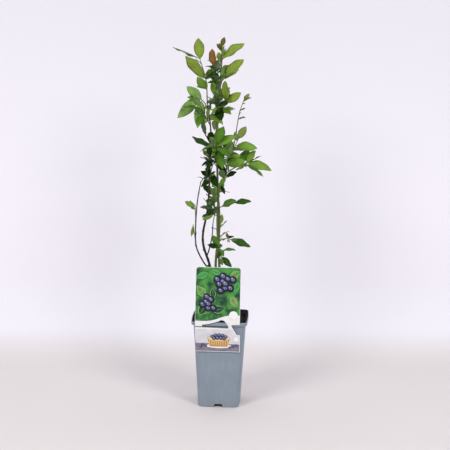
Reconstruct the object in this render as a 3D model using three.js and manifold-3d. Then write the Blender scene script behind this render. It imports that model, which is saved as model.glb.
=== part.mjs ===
// A young blueberry bush in a square nursery pot: stems, leaf masses, peat, pot and picture label.
// Millimetres, +Z up. The origin is the middle of the pot's underside, and -Y is the label's side.

import * as THREE from 'three';
import { mergeVertices } from 'three/addons/utils/BufferGeometryUtils.js';
import Module from 'manifold-3d';

const wasm = await Module();
wasm.setup();

// Driving dimensions.

const gap = 0.3; // clear space where two pieces meet

const pot = {
  height: 195,
  rimWidth: 123,
  bodyWidth: 113.5, // just under the rim band
  footWidth: 92.5,
  bandHeight: 8,
  wall: 1.4,
  corner: 10.5, // corner radius
  bulge: 1.6, // how far the middle of each side bows out
  edge: 1, // rounding of the foot and of the rim's lip
};

const drain = { wide: 22, narrow: 15, high: 7.8, inner: 13, holeRadius: 5, holeAt: 31 };

const peatTop = 182;
const ground = peatTop + gap; // where the stems are cut flat

const label = { thick: 0.8, left: -51, right: 45, top: 312, corner: 6, tongueLeft: -26, tongueRight: -2 };

// The label's course seen from the side, as [y, z] along the middle of the card.
const labelCourse = [[-56.3, 129.5], [-60, 160], [-62.2, 186.5], [-62.2, 196], [-56, 256], [-42, 312]];
const tongueCourse = [
  [-61.9, 199.5], [-61.1, 197], [-59.3, 195.9], [-57.1, 195.7], [-55.6, 194], [-54.1, 189], [-52.7, 164],
];
const courseSteps = 18;

// The card's edge seen from the front, as [x, z]: the flap with its cut corner, and the two necks.
const flapEdge = [
  [-49, 127], [45.5, 127], [45.5, 168.2], [38.5, 168.8], [27, 188.5], [27.4, 190.8], [45, 191.6],
];
const leftNeck = [-51, 189.5];

// The slot that lets the card over the rim: its left end, its bend, and its raised right part.
const slotLeft = [[-36, 186], [-36, 189]];
const slotBend = [-12, 191];
const slotRight = [[6, 200.5], [11, 200], [15.5, 195], [20.5, 188], [20.5, 184.8], [-8, 185.6]];

// Each stem's course is a smooth curve through a few points, from its foot or its fork to its tip.
const stems = [
  { name: 'stem_main', foot: 3.1, tip: 1.2, flare: 3,
    course: [[0, 0, ground], [-12, 0, 300], [-5, 1, 395], [-10, 2, 485], [-14, 1, 610], [-10, 0, 675],
      [-4, 0, 742]] },
  { name: 'stem_left', foot: 3.1, tip: 1.3, flare: 2,
    course: [[-14, 3, ground], [-22, 5, 290], [-41, 4, 362], [-30, 3, 440], [-27, 4, 540], [-26, 2, 600],
      [-34, 0, 662]] },
  { name: 'stem_right', foot: 2.4, tip: 1.2, flare: 1.6,
    course: [[9, -9, ground], [-2, -10, 300], [-9, -9, 390], [-6, -8, 470], [8, -7, 508], [26, -5, 522]] },
  { name: 'stem_back', foot: 2.5, tip: 1.3, flare: 1.8,
    course: [[4, 12, ground], [-5, 17, 290], [-8, 20, 395], [-11, 23, 500], [-12, 25, 604]] },
  { name: 'branch_thin_left', foot: 1.8, tip: 1.1, on: 'stem_left', at: 0.2,
    course: [[-34, -2, 308], [-53, -6, 345], [-56, -8, 385], [-53, -6, 445], [-46, -4, 490]] },
  { name: 'branch_low_left', foot: 1.6, tip: 1, on: 'stem_left', at: 0.25,
    course: [[-27, -8, 340], [-20, -12, 372], [-18, -14, 402]] },
  { name: 'branch_right', foot: 1.5, tip: 1, on: 'stem_right', at: 0.8,
    course: [[11, -3, 532], [23, 2, 566], [31, 4, 618]] },
];

// Solids.

const vector = (p) => new THREE.Vector3(p[0], p[1], p[2]);

function solid(points, triangles) {
  return new wasm.Manifold(new wasm.Mesh({
    numProp: 3,
    vertProperties: new Float32Array(points.flatMap((p) => [p.x, p.y, p.z])),
    triVerts: new Uint32Array(triangles),
  }));
}

function solidFrom(geometry) {
  geometry.deleteAttribute('normal');
  geometry.deleteAttribute('uv');
  const joined = mergeVertices(geometry, 1e-4);
  const points = Array.from({ length: joined.attributes.position.count },
    (_, k) => new THREE.Vector3().fromBufferAttribute(joined.attributes.position, k));
  return solid(points, Array.from(joined.index.array));
}

// A closed solid through a row of rings, each anticlockwise seen from ahead. A ring of one point is a tip.
function loft(rings) {
  const triangles = [];
  let start = 0;
  for (let r = 0; r < rings.length - 1; r++) {
    const here = rings[r].length;
    const next = rings[r + 1].length;
    for (let k = 0; k < Math.max(here, next); k++) {
      const a = start + (k % here);
      const b = start + ((k + 1) % here);
      const c = start + here + (k % next);
      const d = start + here + ((k + 1) % next);
      if (here > 1) triangles.push(a, b, d);
      if (next > 1) triangles.push(a, d, c);
    }
    start += here;
  }
  for (let k = 1; k < rings[0].length - 1; k++) triangles.push(0, k + 1, k);
  for (let k = 1; k < rings.at(-1).length - 1; k++) triangles.push(start, start + k, start + k + 1);
  return solid(rings.flat(), triangles);
}

// A prism of a flat shape. Its x, its y and its depth run along the three directions given.
function prism(shape, depth, alongX, alongY, alongDepth, origin) {
  const geometry = new THREE.ExtrudeGeometry(shape, { depth, bevelEnabled: false, curveSegments: 5 });
  geometry.applyMatrix4(new THREE.Matrix4().makeBasis(alongX, alongY, alongDepth).setPosition(origin));
  return solidFrom(geometry);
}

const rightwards = new THREE.Vector3(1, 0, 0);
const backwards = new THREE.Vector3(0, 1, 0);
const frontwards = new THREE.Vector3(0, -1, 0);
const upwards = new THREE.Vector3(0, 0, 1);

// Pot and peat.

const cornerSteps = 5;
const sideSteps = 4;

// A square ring of the pot: round corners, and sides that bow out a little.
function potRing(width, z, inset = 0) {
  const corner = pot.corner - inset;
  const straight = width / 2 - pot.bulge - corner;
  const middle = new THREE.Vector2();
  const points = [];
  for (let side = 0; side < 4; side++) {
    const turn = side * Math.PI / 2;
    const centre = new THREE.Vector2(straight, straight).rotateAround(middle, turn);
    for (let k = 0; k <= cornerSteps; k++) {
      const angle = turn + (k / cornerSteps) * Math.PI / 2;
      const x = centre.x + corner * Math.cos(angle);
      points.push(new THREE.Vector3(x, centre.y + corner * Math.sin(angle), z));
    }
    for (let k = 1; k < sideSteps; k++) {
      const along = (2 * k) / sideSteps - 1;
      const out = straight + corner + pot.bulge * Math.cos(along * Math.PI / 2);
      const point = new THREE.Vector2(out, along * straight).rotateAround(middle, turn + Math.PI / 2);
      points.push(new THREE.Vector3(point.x, point.y, z));
    }
  }
  return points;
}

const bandFoot = pot.height - pot.bandHeight;

// The pot's outer width at a height on its tapering body.
const bodyWidthAt = (z) => pot.footWidth + (pot.bodyWidth - pot.footWidth) * (z / bandFoot);

const potOutside = () => loft([
  potRing(pot.footWidth - 2 * pot.edge, 0),
  potRing(bodyWidthAt(pot.edge), pot.edge),
  potRing(pot.bodyWidth, bandFoot),
  potRing(pot.rimWidth - pot.edge, bandFoot + 0.1),
  potRing(pot.rimWidth, bandFoot + pot.edge),
  potRing(pot.rimWidth, pot.height - pot.edge),
  potRing(pot.rimWidth - pot.edge, pot.height),
]);

// The room inside the pot up to a height, drawn in by `spare` on every side.
function potInside(top, spare) {
  const inset = pot.wall + spare;
  const shelf = bandFoot + pot.wall + spare;
  const rings = [
    potRing(pot.footWidth - 2 * inset, inset, inset),
    potRing(bodyWidthAt(Math.min(top, bandFoot)) - 2 * inset, Math.min(top, bandFoot), inset),
  ];
  if (top > shelf) {
    rings.push(potRing(pot.bodyWidth - 2 * inset, shelf, inset));
    rings.push(potRing(pot.rimWidth - 2 * inset, shelf + pot.edge, inset));
    rings.push(potRing(pot.rimWidth - 2 * inset, top, inset));
  }
  return loft(rings);
}

// The four drain channels under the floor, made larger by `spare`.
function drainChannels(spare) {
  const shape = new THREE.Shape([
    new THREE.Vector2(-drain.wide / 2 - spare, -1),
    new THREE.Vector2(drain.wide / 2 + spare, -1),
    new THREE.Vector2(drain.wide / 2 + spare, 0),
    new THREE.Vector2(drain.narrow / 2 + spare, drain.high + spare),
    new THREE.Vector2(-drain.narrow / 2 - spare, drain.high + spare),
    new THREE.Vector2(-drain.wide / 2 - spare, 0),
  ]);
  const inner = drain.inner - spare;
  const depth = pot.rimWidth / 2 - inner;
  return [0, 1, 2, 3].map((k) => {
    const out = rightwards.clone().applyAxisAngle(upwards, k * Math.PI / 2);
    const across = out.clone().applyAxisAngle(upwards, Math.PI / 2);
    return prism(shape, depth, across, upwards, out, out.clone().multiplyScalar(inner));
  });
}

function drainHoles() {
  return [0, 1, 2, 3].map((k) => {
    const geometry = new THREE.CylinderGeometry(drain.holeRadius, drain.holeRadius, 4 * pot.wall, 16);
    geometry.rotateX(Math.PI / 2);
    geometry.translate(drain.holeAt, 0, drain.high + pot.wall / 2);
    geometry.rotateZ(k * Math.PI / 2);
    return solidFrom(geometry);
  });
}

const without = (body, cuts) => cuts.reduce((rest, cut) => rest.subtract(cut), body);

function potSolid() {
  const inside = without(potInside(pot.height + 1, 0), drainChannels(pot.wall));
  return without(potOutside(), [inside, ...drainChannels(0), ...drainHoles()]);
}

function peatSolid() {
  return without(potInside(peatTop, gap), [...drainChannels(pot.wall + gap), tongueSolid(gap)]);
}

// Label.

// A strip of card: its side view follows a course of [y, z] points, and it runs from x = left to right.
function cardStrip(course, thick, left, right) {
  const points = course.map(flat);
  const edge = (side) => points.map((point, k) => {
    const before = points[Math.max(k - 1, 0)];
    const after = points[Math.min(k + 1, points.length - 1)];
    const along = after.clone().sub(before).normalize();
    return point.clone().add(new THREE.Vector2(-along.y, along.x).multiplyScalar(side * thick / 2));
  });
  const shape = new THREE.Shape([...edge(-1), ...edge(1).reverse()]);
  return prism(shape, right - left, backwards, upwards, rightwards, new THREE.Vector3(left, 0, 0));
}

const flat = ([a, b]) => new THREE.Vector2(a, b);

const smoothCourse = (course) => new THREE.SplineCurve(course.map(flat)).getPoints(courseSteps)
  .map((point) => [point.x, point.y]);

const tongueSolid = (spare) => cardStrip(tongueCourse, label.thick + 2 * spare,
  label.tongueLeft - spare, label.tongueRight + spare);

function labelOutline() {
  const { left, right, top, corner } = label;
  const outline = new THREE.Shape(flapEdge.map(flat));
  outline.lineTo(right, top - corner);
  outline.absarc(right - corner, top - corner, corner, 0, Math.PI / 2);
  outline.absarc(left + corner, top - corner, corner, Math.PI / 2, Math.PI);
  outline.lineTo(...leftNeck);
  const slot = new THREE.Path(slotLeft.map(flat));
  slot.quadraticCurveTo(...slotBend, ...slotRight[0]);
  for (const [x, z] of slotRight.slice(1)) slot.lineTo(x, z);
  outline.holes.push(slot);
  return outline;
}

const cutFrom = new THREE.Vector3(0, -20, 0); // the outline is cut forwards from here
const cutDepth = 80;

function labelSolid() {
  const card = cardStrip(smoothCourse(labelCourse), label.thick, label.left - 1, label.right + 1);
  const front = prism(labelOutline(), cutDepth, rightwards, upwards, frontwards, cutFrom);
  return card.intersect(front).add(tongueSolid(0));
}

// Stems.

const stations = [0, 0.012, 0.03, 0.06, 0.11, ...Array.from({ length: 10 }, (_, k) => 0.19 + k * 0.09)];

const curveThrough = (points) => new THREE.CatmullRomCurve3(points, false, 'catmullrom', 0.5);

function headingAt(curve, t) {
  return curve.getPoint(Math.min(1, t + 0.01)).sub(curve.getPoint(Math.max(0, t - 0.01))).normalize();
}

// A round tapering tube along a curve, with its rings carried on from each other without twist.
function tube(curve, radiusAt, sides, steps, flatFoot) {
  let side = null;
  const rings = steps.map((t) => {
    const heading = flatFoot && t === 0 ? upwards : headingAt(curve, t);
    if (side === null) side = Math.abs(heading.y) < 0.9 ? backwards : rightwards;
    side = side.clone().addScaledVector(heading, -side.dot(heading)).normalize();
    const across = heading.clone().cross(side);
    const centre = curve.getPoint(t);
    return Array.from({ length: sides }, (_, k) => {
      const angle = (k / sides) * 2 * Math.PI;
      return centre.clone().addScaledVector(side, radiusAt(t) * Math.cos(angle))
        .addScaledVector(across, radiusAt(t) * Math.sin(angle));
    });
  });
  return loft(rings);
}

const stemSides = 7;
const sleeveGap = gap / Math.cos(Math.PI / stemSides); // keeps the gap between two facets
const limbs = {};

// A stem's radius: an even taper, and a flare over the lowest part of one that stands in the peat.
const flareEnd = 0.06;
function stemRadius(stem, t) {
  const flare = stem.flare && t < flareEnd ? stem.flare * (1 - t / flareEnd) ** 2 : 0;
  return stem.foot + (stem.tip - stem.foot) * t + flare;
}

for (const stem of stems) {
  const points = stem.course.map(vector);
  if (stem.on) points.unshift(limbs[stem.on].curve.getPoint(stem.at));
  const curve = curveThrough(points);
  const radiusAt = (t) => stemRadius(stem, t);
  const sleeveEnd = curve.getPoint(1).addScaledVector(headingAt(curve, 1), gap);
  const sleeveCurve = curveThrough([...points.slice(0, -1), sleeveEnd]);
  limbs[stem.name] = {
    curve,
    radiusAt,
    sleeve: tube(sleeveCurve, (t) => radiusAt(t) + sleeveGap, stemSides, stations, false),
    body: tube(curve, radiusAt, stemSides, stations, !stem.on),
  };
  if (stem.on) {
    limbs[stem.name].body = largestPiece(limbs[stem.name].body.subtract(limbs[stem.on].sleeve));
  }
}

function largestPiece(body) {
  return body.decompose().reduce((best, piece) => (piece.volume() > best.volume() ? piece : best));
}

// Leaf masses.

// Each mass grows on a limb at a share of its length. `tip` is where its stem ends, `out` where its
// leaves lean to, `turn` the first leaf's angle round the stem and `open` the leaves' angle off it.
// `lead` lists the leaves that shape the crown: place on the stem, leaf tip, and turn from the front.
const usual = {
  leaves: 5, spurs: 0, size: 52, turn: 0, open: 60, lean: 0.3, droop: 0.15, bare: 0.25, lead: [],
};

const leafMasses = [
  { name: 'leaves_top_left', on: 'stem_left', at: 1, tip: [-50, -2, 750], bow: [5, 0, 0],
    out: [-1, 0, 0.1], leaves: 4, size: 36, turn: 270, open: 75, lean: 0.5, droop: 0, seed: 71,
    lead: [[0.98, [-54, -8, 795], 5], [1, [-108, -12, 775], 80], [0.51, [-80, -16, 758], 40],
      [0.27, [-54, -26, 714], 5]] },
  { name: 'leaves_upper_left', on: 'stem_left', at: 0.96, tip: [-54, -8, 668], bow: [0, -3, 6],
    out: [-1, -0.2, 0], leaves: 4, size: 48, turn: 120, seed: 33,
    lead: [[0.56, [-77, -14, 694], 5], [0.91, [-96, -16, 626], 10], [0.6, [-53, -20, 605], 10]] },
  { name: 'leaves_upper_left_front', on: 'stem_left', at: 0.86, tip: [-46, -28, 652],
    out: [-0.5, -1, 0], leaves: 3, spurs: 2, size: 44, turn: 90, open: 90, lean: 0.5, droop: 0, seed: 58 },
  { name: 'leaves_top', on: 'stem_main', at: 1, tip: [-5, 0, 776],
    out: [0.2, 0, 1], leaves: 4, size: 24, turn: 300, lean: 0.8, droop: 0, seed: 79,
    lead: [[1, [1, -2, 797], 0], [0.82, [-15, -5, 783], 10], [0.21, [44, -8, 784], 50]] },
  { name: 'leaves_top_right', on: 'stem_main', at: 0.9, tip: [4, -6, 712],
    out: [1, 0, 0.15], leaves: 1, size: 32, turn: 90, open: 90, lean: 0.5, seed: 1,
    lead: [[0.55, [43, -14, 752], 40]] },
  { name: 'leaves_upper_right', on: 'stem_main', at: 0.72, tip: [10, -10, 660],
    out: [1, -0.1, 0.1], leaves: 5, size: 36, turn: 180, open: 75, lean: 0.5, seed: 16,
    lead: [[0.91, [4, -15, 707], 40], [0.95, [38, -16, 683], 5]] },
  { name: 'leaves_top_centre', on: 'stem_main', at: 0.84, tip: [-20, -16, 734],
    out: [-0.3, -1, 0], leaves: 5, size: 44, turn: 60, open: 45, lean: 0.1, seed: 98,
    lead: [[1, [-24, -17, 773], 30]] },
  { name: 'leaves_upper_centre', on: 'stem_main', at: 0.7, tip: [-12, -22, 660],
    out: [0.2, -1, 0], leaves: 6, size: 48, turn: 330, open: 75, lean: 0.5, droop: 0, seed: 40,
    lead: [[0.8, [-11, -30, 689], 40]] },
  { name: 'bud_shoot_right', on: 'branch_right', at: 1, tip: [43, 0, 664], bow: [-2, 0, 0],
    out: [1, 0, 0.3], leaves: 3, size: 12, turn: 30, open: 45, lean: 1.1, seed: 39,
    lead: [[0.98, [56, -2, 680], 40], [0.97, [61, -4, 672], 70], [0.56, [48, -2, 649], 60],
      [0.15, [49, 2, 630], 65]] },
  { name: 'leaves_young_right', on: 'branch_right', at: 0.42, tip: [36, -10, 590],
    out: [1, 0, 0.4], leaves: 2, size: 24, turn: 270, droop: 0, seed: 71,
    lead: [[0.86, [50, -14, 612], 5], [0.59, [75, -16, 565], 30]] },
  { name: 'leaves_middle', on: 'stem_main', at: 0.58, tip: [-14, -28, 572],
    out: [0.3, -1, 0], leaves: 5, size: 48, turn: 120, open: 75, lean: 0.1, seed: 82,
    lead: [[0.99, [4, -36, 613], 5], [0.83, [31, -32, 592], 45]] },
  { name: 'leaves_middle_left', on: 'stem_left', at: 0.66, tip: [-36, -8, 590], bow: [8, -2, 0],
    out: [-1, -0.2, 0], leaves: 4, size: 36, turn: 150, open: 90, lean: 0.5, seed: 94,
    lead: [[0.57, [-65, -16, 589], 45], [0.99, [-43, -6, 628], 55], [0.15, [-41, -18, 560], 5]] },
  { name: 'leaves_middle_right', on: 'stem_right', at: 1, tip: [56, -4, 534], bow: [0, 0, 2],
    out: [1, -0.1, 0], leaves: 3, size: 44, turn: 120, droop: 0, seed: 53,
    lead: [[0.87, [106, -12, 518], 45], [1, [85, 2, 549], 85], [0.81, [71, -10, 561], 30],
      [0.95, [29, -22, 519], 45], [0.92, [77, -4, 530], 30]] },
  { name: 'leaves_middle_right_upper', on: 'branch_right', at: 0.1, tip: [12, -16, 540],
    out: [1, -0.2, 0.1], leaves: 4, size: 44, turn: 210, lean: 0.1, droop: 0, seed: 89,
    lead: [[0.46, [50, -26, 541], 5], [0.99, [40, -20, 551], 5]] },
  { name: 'leaves_middle_low', on: 'stem_main', at: 0.55, tip: [-26, -28, 550],
    out: [0, -1, 0], leaves: 7, spurs: 2, size: 36, turn: 60, open: 90, lean: 0.5, seed: 21 },
  { name: 'leaves_low_centre', on: 'stem_left', at: 0.56, tip: [-24, -10, 506],
    out: [-0.6, -1, 0], leaves: 4, size: 36, turn: 180, open: 90, lean: 0.5, droop: 0.3, seed: 34,
    lead: [[0.88, [-45, -20, 516], 5]] },
  { name: 'leaves_low_centre_right', on: 'stem_right', at: 0.64, tip: [9, -18, 504],
    out: [0.6, -1, 0], leaves: 2, size: 36, turn: 270, open: 45, lean: 0.1, droop: 0, seed: 2,
    lead: [[1, [-5, -28, 484], 5], [1, [-6, -27, 541], 35], [1, [32, -26, 516], 35],
      [0.15, [7, -18, 466], 5]] },
  { name: 'leaves_low_left', on: 'branch_low_left', at: 1, tip: [-16, -22, 458], bow: [3, 0, 0],
    out: [-0.6, -1, 0], leaves: 5, size: 36, turn: 120, droop: 0, seed: 20,
    lead: [[0.31, [-31, -22, 457], 45], [0.45, [-40, -30, 411], 5]] },
  { name: 'leaves_low_right', on: 'stem_right', at: 0.5, tip: [28, -16, 448], bow: [0, 0, 3],
    out: [1, 0, 0], leaves: 0, size: 32, seed: 39,
    lead: [[0.97, [64, -16, 452], 45], [0.21, [32, -24, 455], 45]] },
  { name: 'leaves_low_front', on: 'stem_right', at: 0.46, tip: [-24, -40, 436],
    out: [0, -1, 0], leaves: 5, spurs: 2, size: 36, open: 45, seed: 47 },
  { name: 'leaves_thin_left', on: 'branch_thin_left', at: 0.66, tip: [-57, -10, 438],
    out: [-1, 0, 0], leaves: 2, size: 18, turn: 60, open: 75, seed: 14,
    lead: [[0.92, [-79, -14, 449], 5], [1, [-70, -8, 451], 80]] },
  { name: 'leaves_thin_left_low', on: 'branch_thin_left', at: 0.46, tip: [-61, -11, 398],
    out: [-1, 0, 0], leaves: 2, size: 14, open: 45, lean: 0.5, droop: 0, seed: 86,
    lead: [[0.96, [-65, -13, 371], 45]] },
  { name: 'leaves_thin_left_top', on: 'branch_thin_left', at: 1, tip: [-32, 8, 510],
    out: [-1, 0, 0.3], leaves: 4, size: 18, turn: 120, open: 75, lean: 0.5, droop: 0.3, seed: 97 },
  { name: 'leaves_foot_right', on: 'stem_right', at: 0.33, tip: [20, -17, 368], bow: [0, 0, 5],
    out: [1, -0.1, 0], leaves: 2, size: 24, open: 90, lean: 0.1, seed: 56,
    lead: [[0.98, [64, -18, 353], 45], [0.84, [12, -17, 383], 20]] },
  { name: 'leaves_foot', on: 'stem_right', at: 0.27, tip: [-4, -26, 352],
    out: [0.1, -1, 0], leaves: 4, size: 30, turn: 150, open: 75, lean: 0.8, droop: 0.3, seed: 92,
    lead: [[1, [-16, -34, 380], 5], [1, [-28, -36, 360], 5]] },
  { name: 'leaves_foot_low', on: 'stem_right', at: 0.22, tip: [3, -24, 345],
    out: [0.3, -1, 0], leaves: 2, size: 28, turn: 270, seed: 22,
    lead: [[0.56, [25, -34, 311], 5], [1, [33, -28, 347], 70], [1, [-8, -34, 329], 5]] },
  { name: 'leaves_back_top', on: 'stem_main', at: 0.93, tip: [-8, 26, 742],
    out: [-0.2, 1, 0], leaves: 6, spurs: 1, size: 44, turn: 240, open: 75, lean: 0.1, droop: 0.3, seed: 74 },
  { name: 'leaves_back_upper', on: 'stem_back', at: 1, tip: [-22, 50, 670],
    out: [0, 1, 0], leaves: 7, spurs: 2, size: 56, turn: 240, open: 75, lean: 0.1, seed: 7 },
  { name: 'leaves_back_middle', on: 'stem_back', at: 0.8, tip: [2, 56, 548],
    out: [0, 1, 0], leaves: 7, spurs: 2, open: 75, lean: 0.5, droop: 0, seed: 9 },
  { name: 'leaves_back_low', on: 'stem_back', at: 0.58, tip: [-20, 62, 476],
    out: [0, 1, 0], leaves: 7, spurs: 2, size: 44, turn: 150, lean: 0.5, droop: 0, seed: 54 },
  { name: 'leaves_back_foot', on: 'stem_back', at: 0.36, tip: [-6, 54, 388],
    out: [-0.1, 1, 0], leaves: 4, size: 38, turn: 240, lean: 0.6, droop: 0, seed: 6 },
];

// Half-widths of a blade along its length, as shares of the widest.
const blade = [[0, 0.05], [0.28, 0.8], [0.52, 1], [0.8, 0.55], [1, 0]];
const slim = 0.21; // widest half-width as a share of the length
const leafThick = 1;
const fold = 0.16; // how far the blade's sides rise, as a share of its half-width
const leadDroop = 0.12;

const twig = { foot: 1.1, side: 0.95, tip: 0.7, steps: [0, 0.33, 0.67, 1] };

// How far a new leaf or twig stays from limbs, from other masses and from its own mass's leaves.
const clear = { limbs: 1.8, masses: 5, own: 4, twigOwn: 3.5, twigMasses: 4.5, twigLimbs: 2 };
const labelRoom = { top: 314, behind: -36 }; // leaves below `top` stay behind this y

function seeded(seed) {
  let state = Math.imul(seed, 2654435761) >>> 0;
  const draw = () => {
    state = (Math.imul(state, 1664525) + 1013904223) >>> 0;
    return state / 4294967296;
  };
  for (let k = 0; k < 3; k++) draw();
  return draw;
}

const radians = (degrees) => degrees * Math.PI / 180;

// The direction level with the ground and square to a heading.
function levelAcross(heading) {
  const across = heading.clone().cross(upwards);
  return across.lengthSq() > 0.01 ? across.normalize() : across.copy(rightwards);
}

// A blade's width direction, turned about its heading.
const turned = (across, heading, degrees) => across.clone().multiplyScalar(Math.cos(radians(degrees)))
  .addScaledVector(across.clone().cross(heading), Math.sin(radians(degrees)));

// A direction that opens off a heading by `open` degrees, at `turn` degrees round it, leaning outwards.
function spread(heading, turn, open, out, lean) {
  const side = levelAcross(heading);
  const above = side.clone().cross(heading);
  return heading.clone().multiplyScalar(Math.cos(radians(open)))
    .addScaledVector(side, Math.sin(radians(open)) * Math.cos(radians(turn)))
    .addScaledVector(above, Math.sin(radians(open)) * Math.sin(radians(turn)))
    .addScaledVector(out, lean).normalize();
}

const newLeaf = (base, heading, roll, droop, length) => (
  { base, heading, across: turned(levelAcross(heading), heading, roll), droop, length });

function leadLeaf(curve, [share, tip, turn]) {
  const base = curve.getPoint(share);
  const reach = vector(tip).sub(base);
  reach.z += leadDroop * reach.length();
  const heading = reach.clone().normalize();
  const across = turned(heading.clone().cross(frontwards).normalize(), heading, turn);
  return { base, heading, across, droop: leadDroop, length: reach.length() };
}

// A point along a leaf's midrib, which droops more towards its tip.
function ribAt(leaf, t) {
  const point = leaf.base.clone().addScaledVector(leaf.heading, leaf.length * t);
  point.z -= leaf.droop * leaf.length * t * t;
  return point;
}

function leavesOn(mass, draw, curve, count, turn, bare, size) {
  const leaves = [];
  for (let k = 0; k < count; k++) {
    const t = bare + (1 - bare) * (k + 0.4) / count;
    const angle = turn + 144 * k + (draw() - 0.5) * 50;
    const open = mass.open * (1 - 0.3 * t) + (draw() - 0.5) * 24;
    const heading = spread(headingAt(curve, t), angle, open, mass.outwards, mass.lean);
    const roll = (draw() - 0.5) * 100;
    const droop = mass.droop + 0.25 * draw();
    const length = size * (0.8 + 0.3 * draw()) * (1 - 0.3 * Math.max(0, t - 0.6));
    leaves.push(newLeaf(curve.getPoint(t), heading, roll, droop, length));
  }
  const angle = draw() * 360;
  const heading = spread(headingAt(curve, 1), angle, 18 * draw(), mass.outwards, 0);
  const roll = (draw() - 0.5) * 160;
  leaves.push(newLeaf(curve.getPoint(1), heading, roll, 0.05, size * (0.6 + 0.3 * draw())));
  return leaves;
}

function stemCurve(mass) {
  const foot = limbs[mass.on].curve.getPoint(mass.at);
  const tip = vector(mass.tip);
  return curveThrough([foot, foot.clone().lerp(tip, 0.5).add(vector(mass.bow ?? [0, 0, 0])), tip]);
}

// The mass's stem with its leaves, and then its side twigs with theirs.
function shootsOf(mass, draw) {
  const { turn, size } = mass;
  const stem = stemCurve(mass);
  const shoots = [{ curve: stem, leaves: leavesOn(mass, draw, stem, mass.leaves, turn, mass.bare, size) }];
  for (let k = 0; k < mass.spurs; k++) {
    const t = 0.35 + 0.5 * (k + 0.6 * draw()) / mass.spurs;
    const angle = turn + 72 + 144 * k + (draw() - 0.5) * 40;
    const heading = spread(headingAt(stem, t), angle, mass.open * 0.8, mass.outwards, mass.lean);
    const length = size * (0.45 + 0.3 * draw());
    const base = stem.getPoint(t);
    const along = (share, rise) => base.clone().addScaledVector(heading, share * length)
      .addScaledVector(upwards, rise * length);
    const curve = curveThrough([base, along(0.5, -0.04), along(1, 0.12)]);
    shoots.push({ curve, leaves: leavesOn(mass, draw, curve, 2, turn + 200 * k, 0.45, size * 0.85) });
  }
  return shoots;
}

function widthAt(t) {
  const k = blade.findIndex(([end]) => end >= t);
  const [start, before] = blade[k - 1];
  const [end, after] = blade[k];
  return before + (after - before) * (t - start) / (end - start);
}

const samples = 8;
const ownFrom = 6; // the points nearer the stalk than this may lie close to the mass's own leaves

// Points over a leaf: along its midrib and near both its edges.
function leafPoints(leaf) {
  const points = [];
  for (let k = 1; k <= samples; k++) {
    const rib = ribAt(leaf, k / samples);
    const half = widthAt(k / samples) * leaf.length * slim * 0.92;
    points.push(rib);
    if (k === samples) continue;
    points.push(rib.clone().addScaledVector(leaf.across, half));
    points.push(rib.clone().addScaledVector(leaf.across, -half));
  }
  return points;
}

const twigPoints = (curve) => [1, 2, 3, 4, 5, 6].map((k) => curve.getPoint(0.12 + 0.88 * k / 6));

const nearAny = (points, others, far) => points.some((point) => others.some(
  (other) => point.distanceToSquared(other) < far * far));

const nearLimb = (points, far) => points.some((point) => limbPoints.some(
  (limb) => point.distanceToSquared(limb.point) < (limb.radius + far) ** 2));

// A leaf: four-cornered rings along its midrib, from a stalk sunk in its twig to a point.
function leafSolid(leaf) {
  const face = leaf.across.clone().cross(leaf.heading);
  const rings = blade.slice(0, -1).map(([t, wide]) => {
    const rib = ribAt(leaf, t);
    const half = Math.max(wide * leaf.length * slim, leafThick / 2);
    const rise = t > 0 ? fold * half : 0;
    return [
      rib.clone().addScaledVector(leaf.across, half).addScaledVector(face, rise),
      rib.clone().addScaledVector(face, -leafThick / 2),
      rib.clone().addScaledVector(leaf.across, -half).addScaledVector(face, rise),
      rib.clone().addScaledVector(face, leafThick / 2),
    ];
  });
  return loft([...rings, [ribAt(leaf, 1)]]);
}

const limbPoints = Object.values(limbs).flatMap(({ curve, radiusAt }) => Array.from({ length: 201 },
  (_, k) => ({ point: curve.getPoint(k / 200), radius: radiusAt(k / 200) })));

const masses = leafMasses.map((row) => ({ ...usual, ...row, outwards: vector(row.out).normalize() }));
for (const mass of masses) {
  mass.leadLeaves = mass.lead.map((lead) => leadLeaf(stemCurve(mass), lead));
  mass.leadPoints = mass.leadLeaves.flatMap(leafPoints);
}
const grownPoints = [];

function leafMass(mass) {
  const limb = limbs[mass.on];
  const shoots = shootsOf(mass, seeded(mass.seed));
  const centre = shoots[0].curve.getPoint(0.55);
  const reach = shoots[0].curve.getPoint(0).distanceTo(vector(mass.tip)) / 2 + mass.size;
  const others = [...grownPoints, ...masses.filter((m) => m !== mass).flatMap((m) => m.leadPoints)];
  const own = mass.leadLeaves.flatMap((leaf) => leafPoints(leaf).slice(ownFrom));
  const pieces = mass.leadLeaves.map(leafSolid);
  grownPoints.push(...mass.leadPoints);

  const fits = (points) => points.every((point) => point.distanceTo(centre) <= reach
      && (point.z >= labelRoom.top || point.y >= labelRoom.behind))
    && !nearLimb(points, clear.limbs) && !nearAny(points, others, clear.masses)
    && !nearAny(points.slice(ownFrom), own, clear.own);

  shoots.forEach(({ curve, leaves }, order) => {
    const points = twigPoints(curve);
    const blocked = nearLimb(points, clear.twigLimbs) || nearAny(points, others, clear.twigMasses)
      || nearAny(points.slice(1), own, clear.twigOwn);
    if (order > 0 && blocked) return;
    const foot = order > 0 ? twig.side : (mass.at === 1 ? limb.radiusAt(1) : twig.foot);
    pieces.push(tube(curve, (t) => foot + (twig.tip - foot) * t, 4, twig.steps, false));
    for (const leaf of leaves) {
      const spots = leafPoints(leaf);
      if (!fits(spots)) continue;
      pieces.push(leafSolid(leaf));
      own.push(...spots.slice(ownFrom));
      grownPoints.push(...spots);
    }
    own.push(...points.slice(1));
    grownPoints.push(...points);
  });
  return largestPiece(wasm.Manifold.union(pieces).subtract(limb.sleeve));
}

// Assembly.

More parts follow.
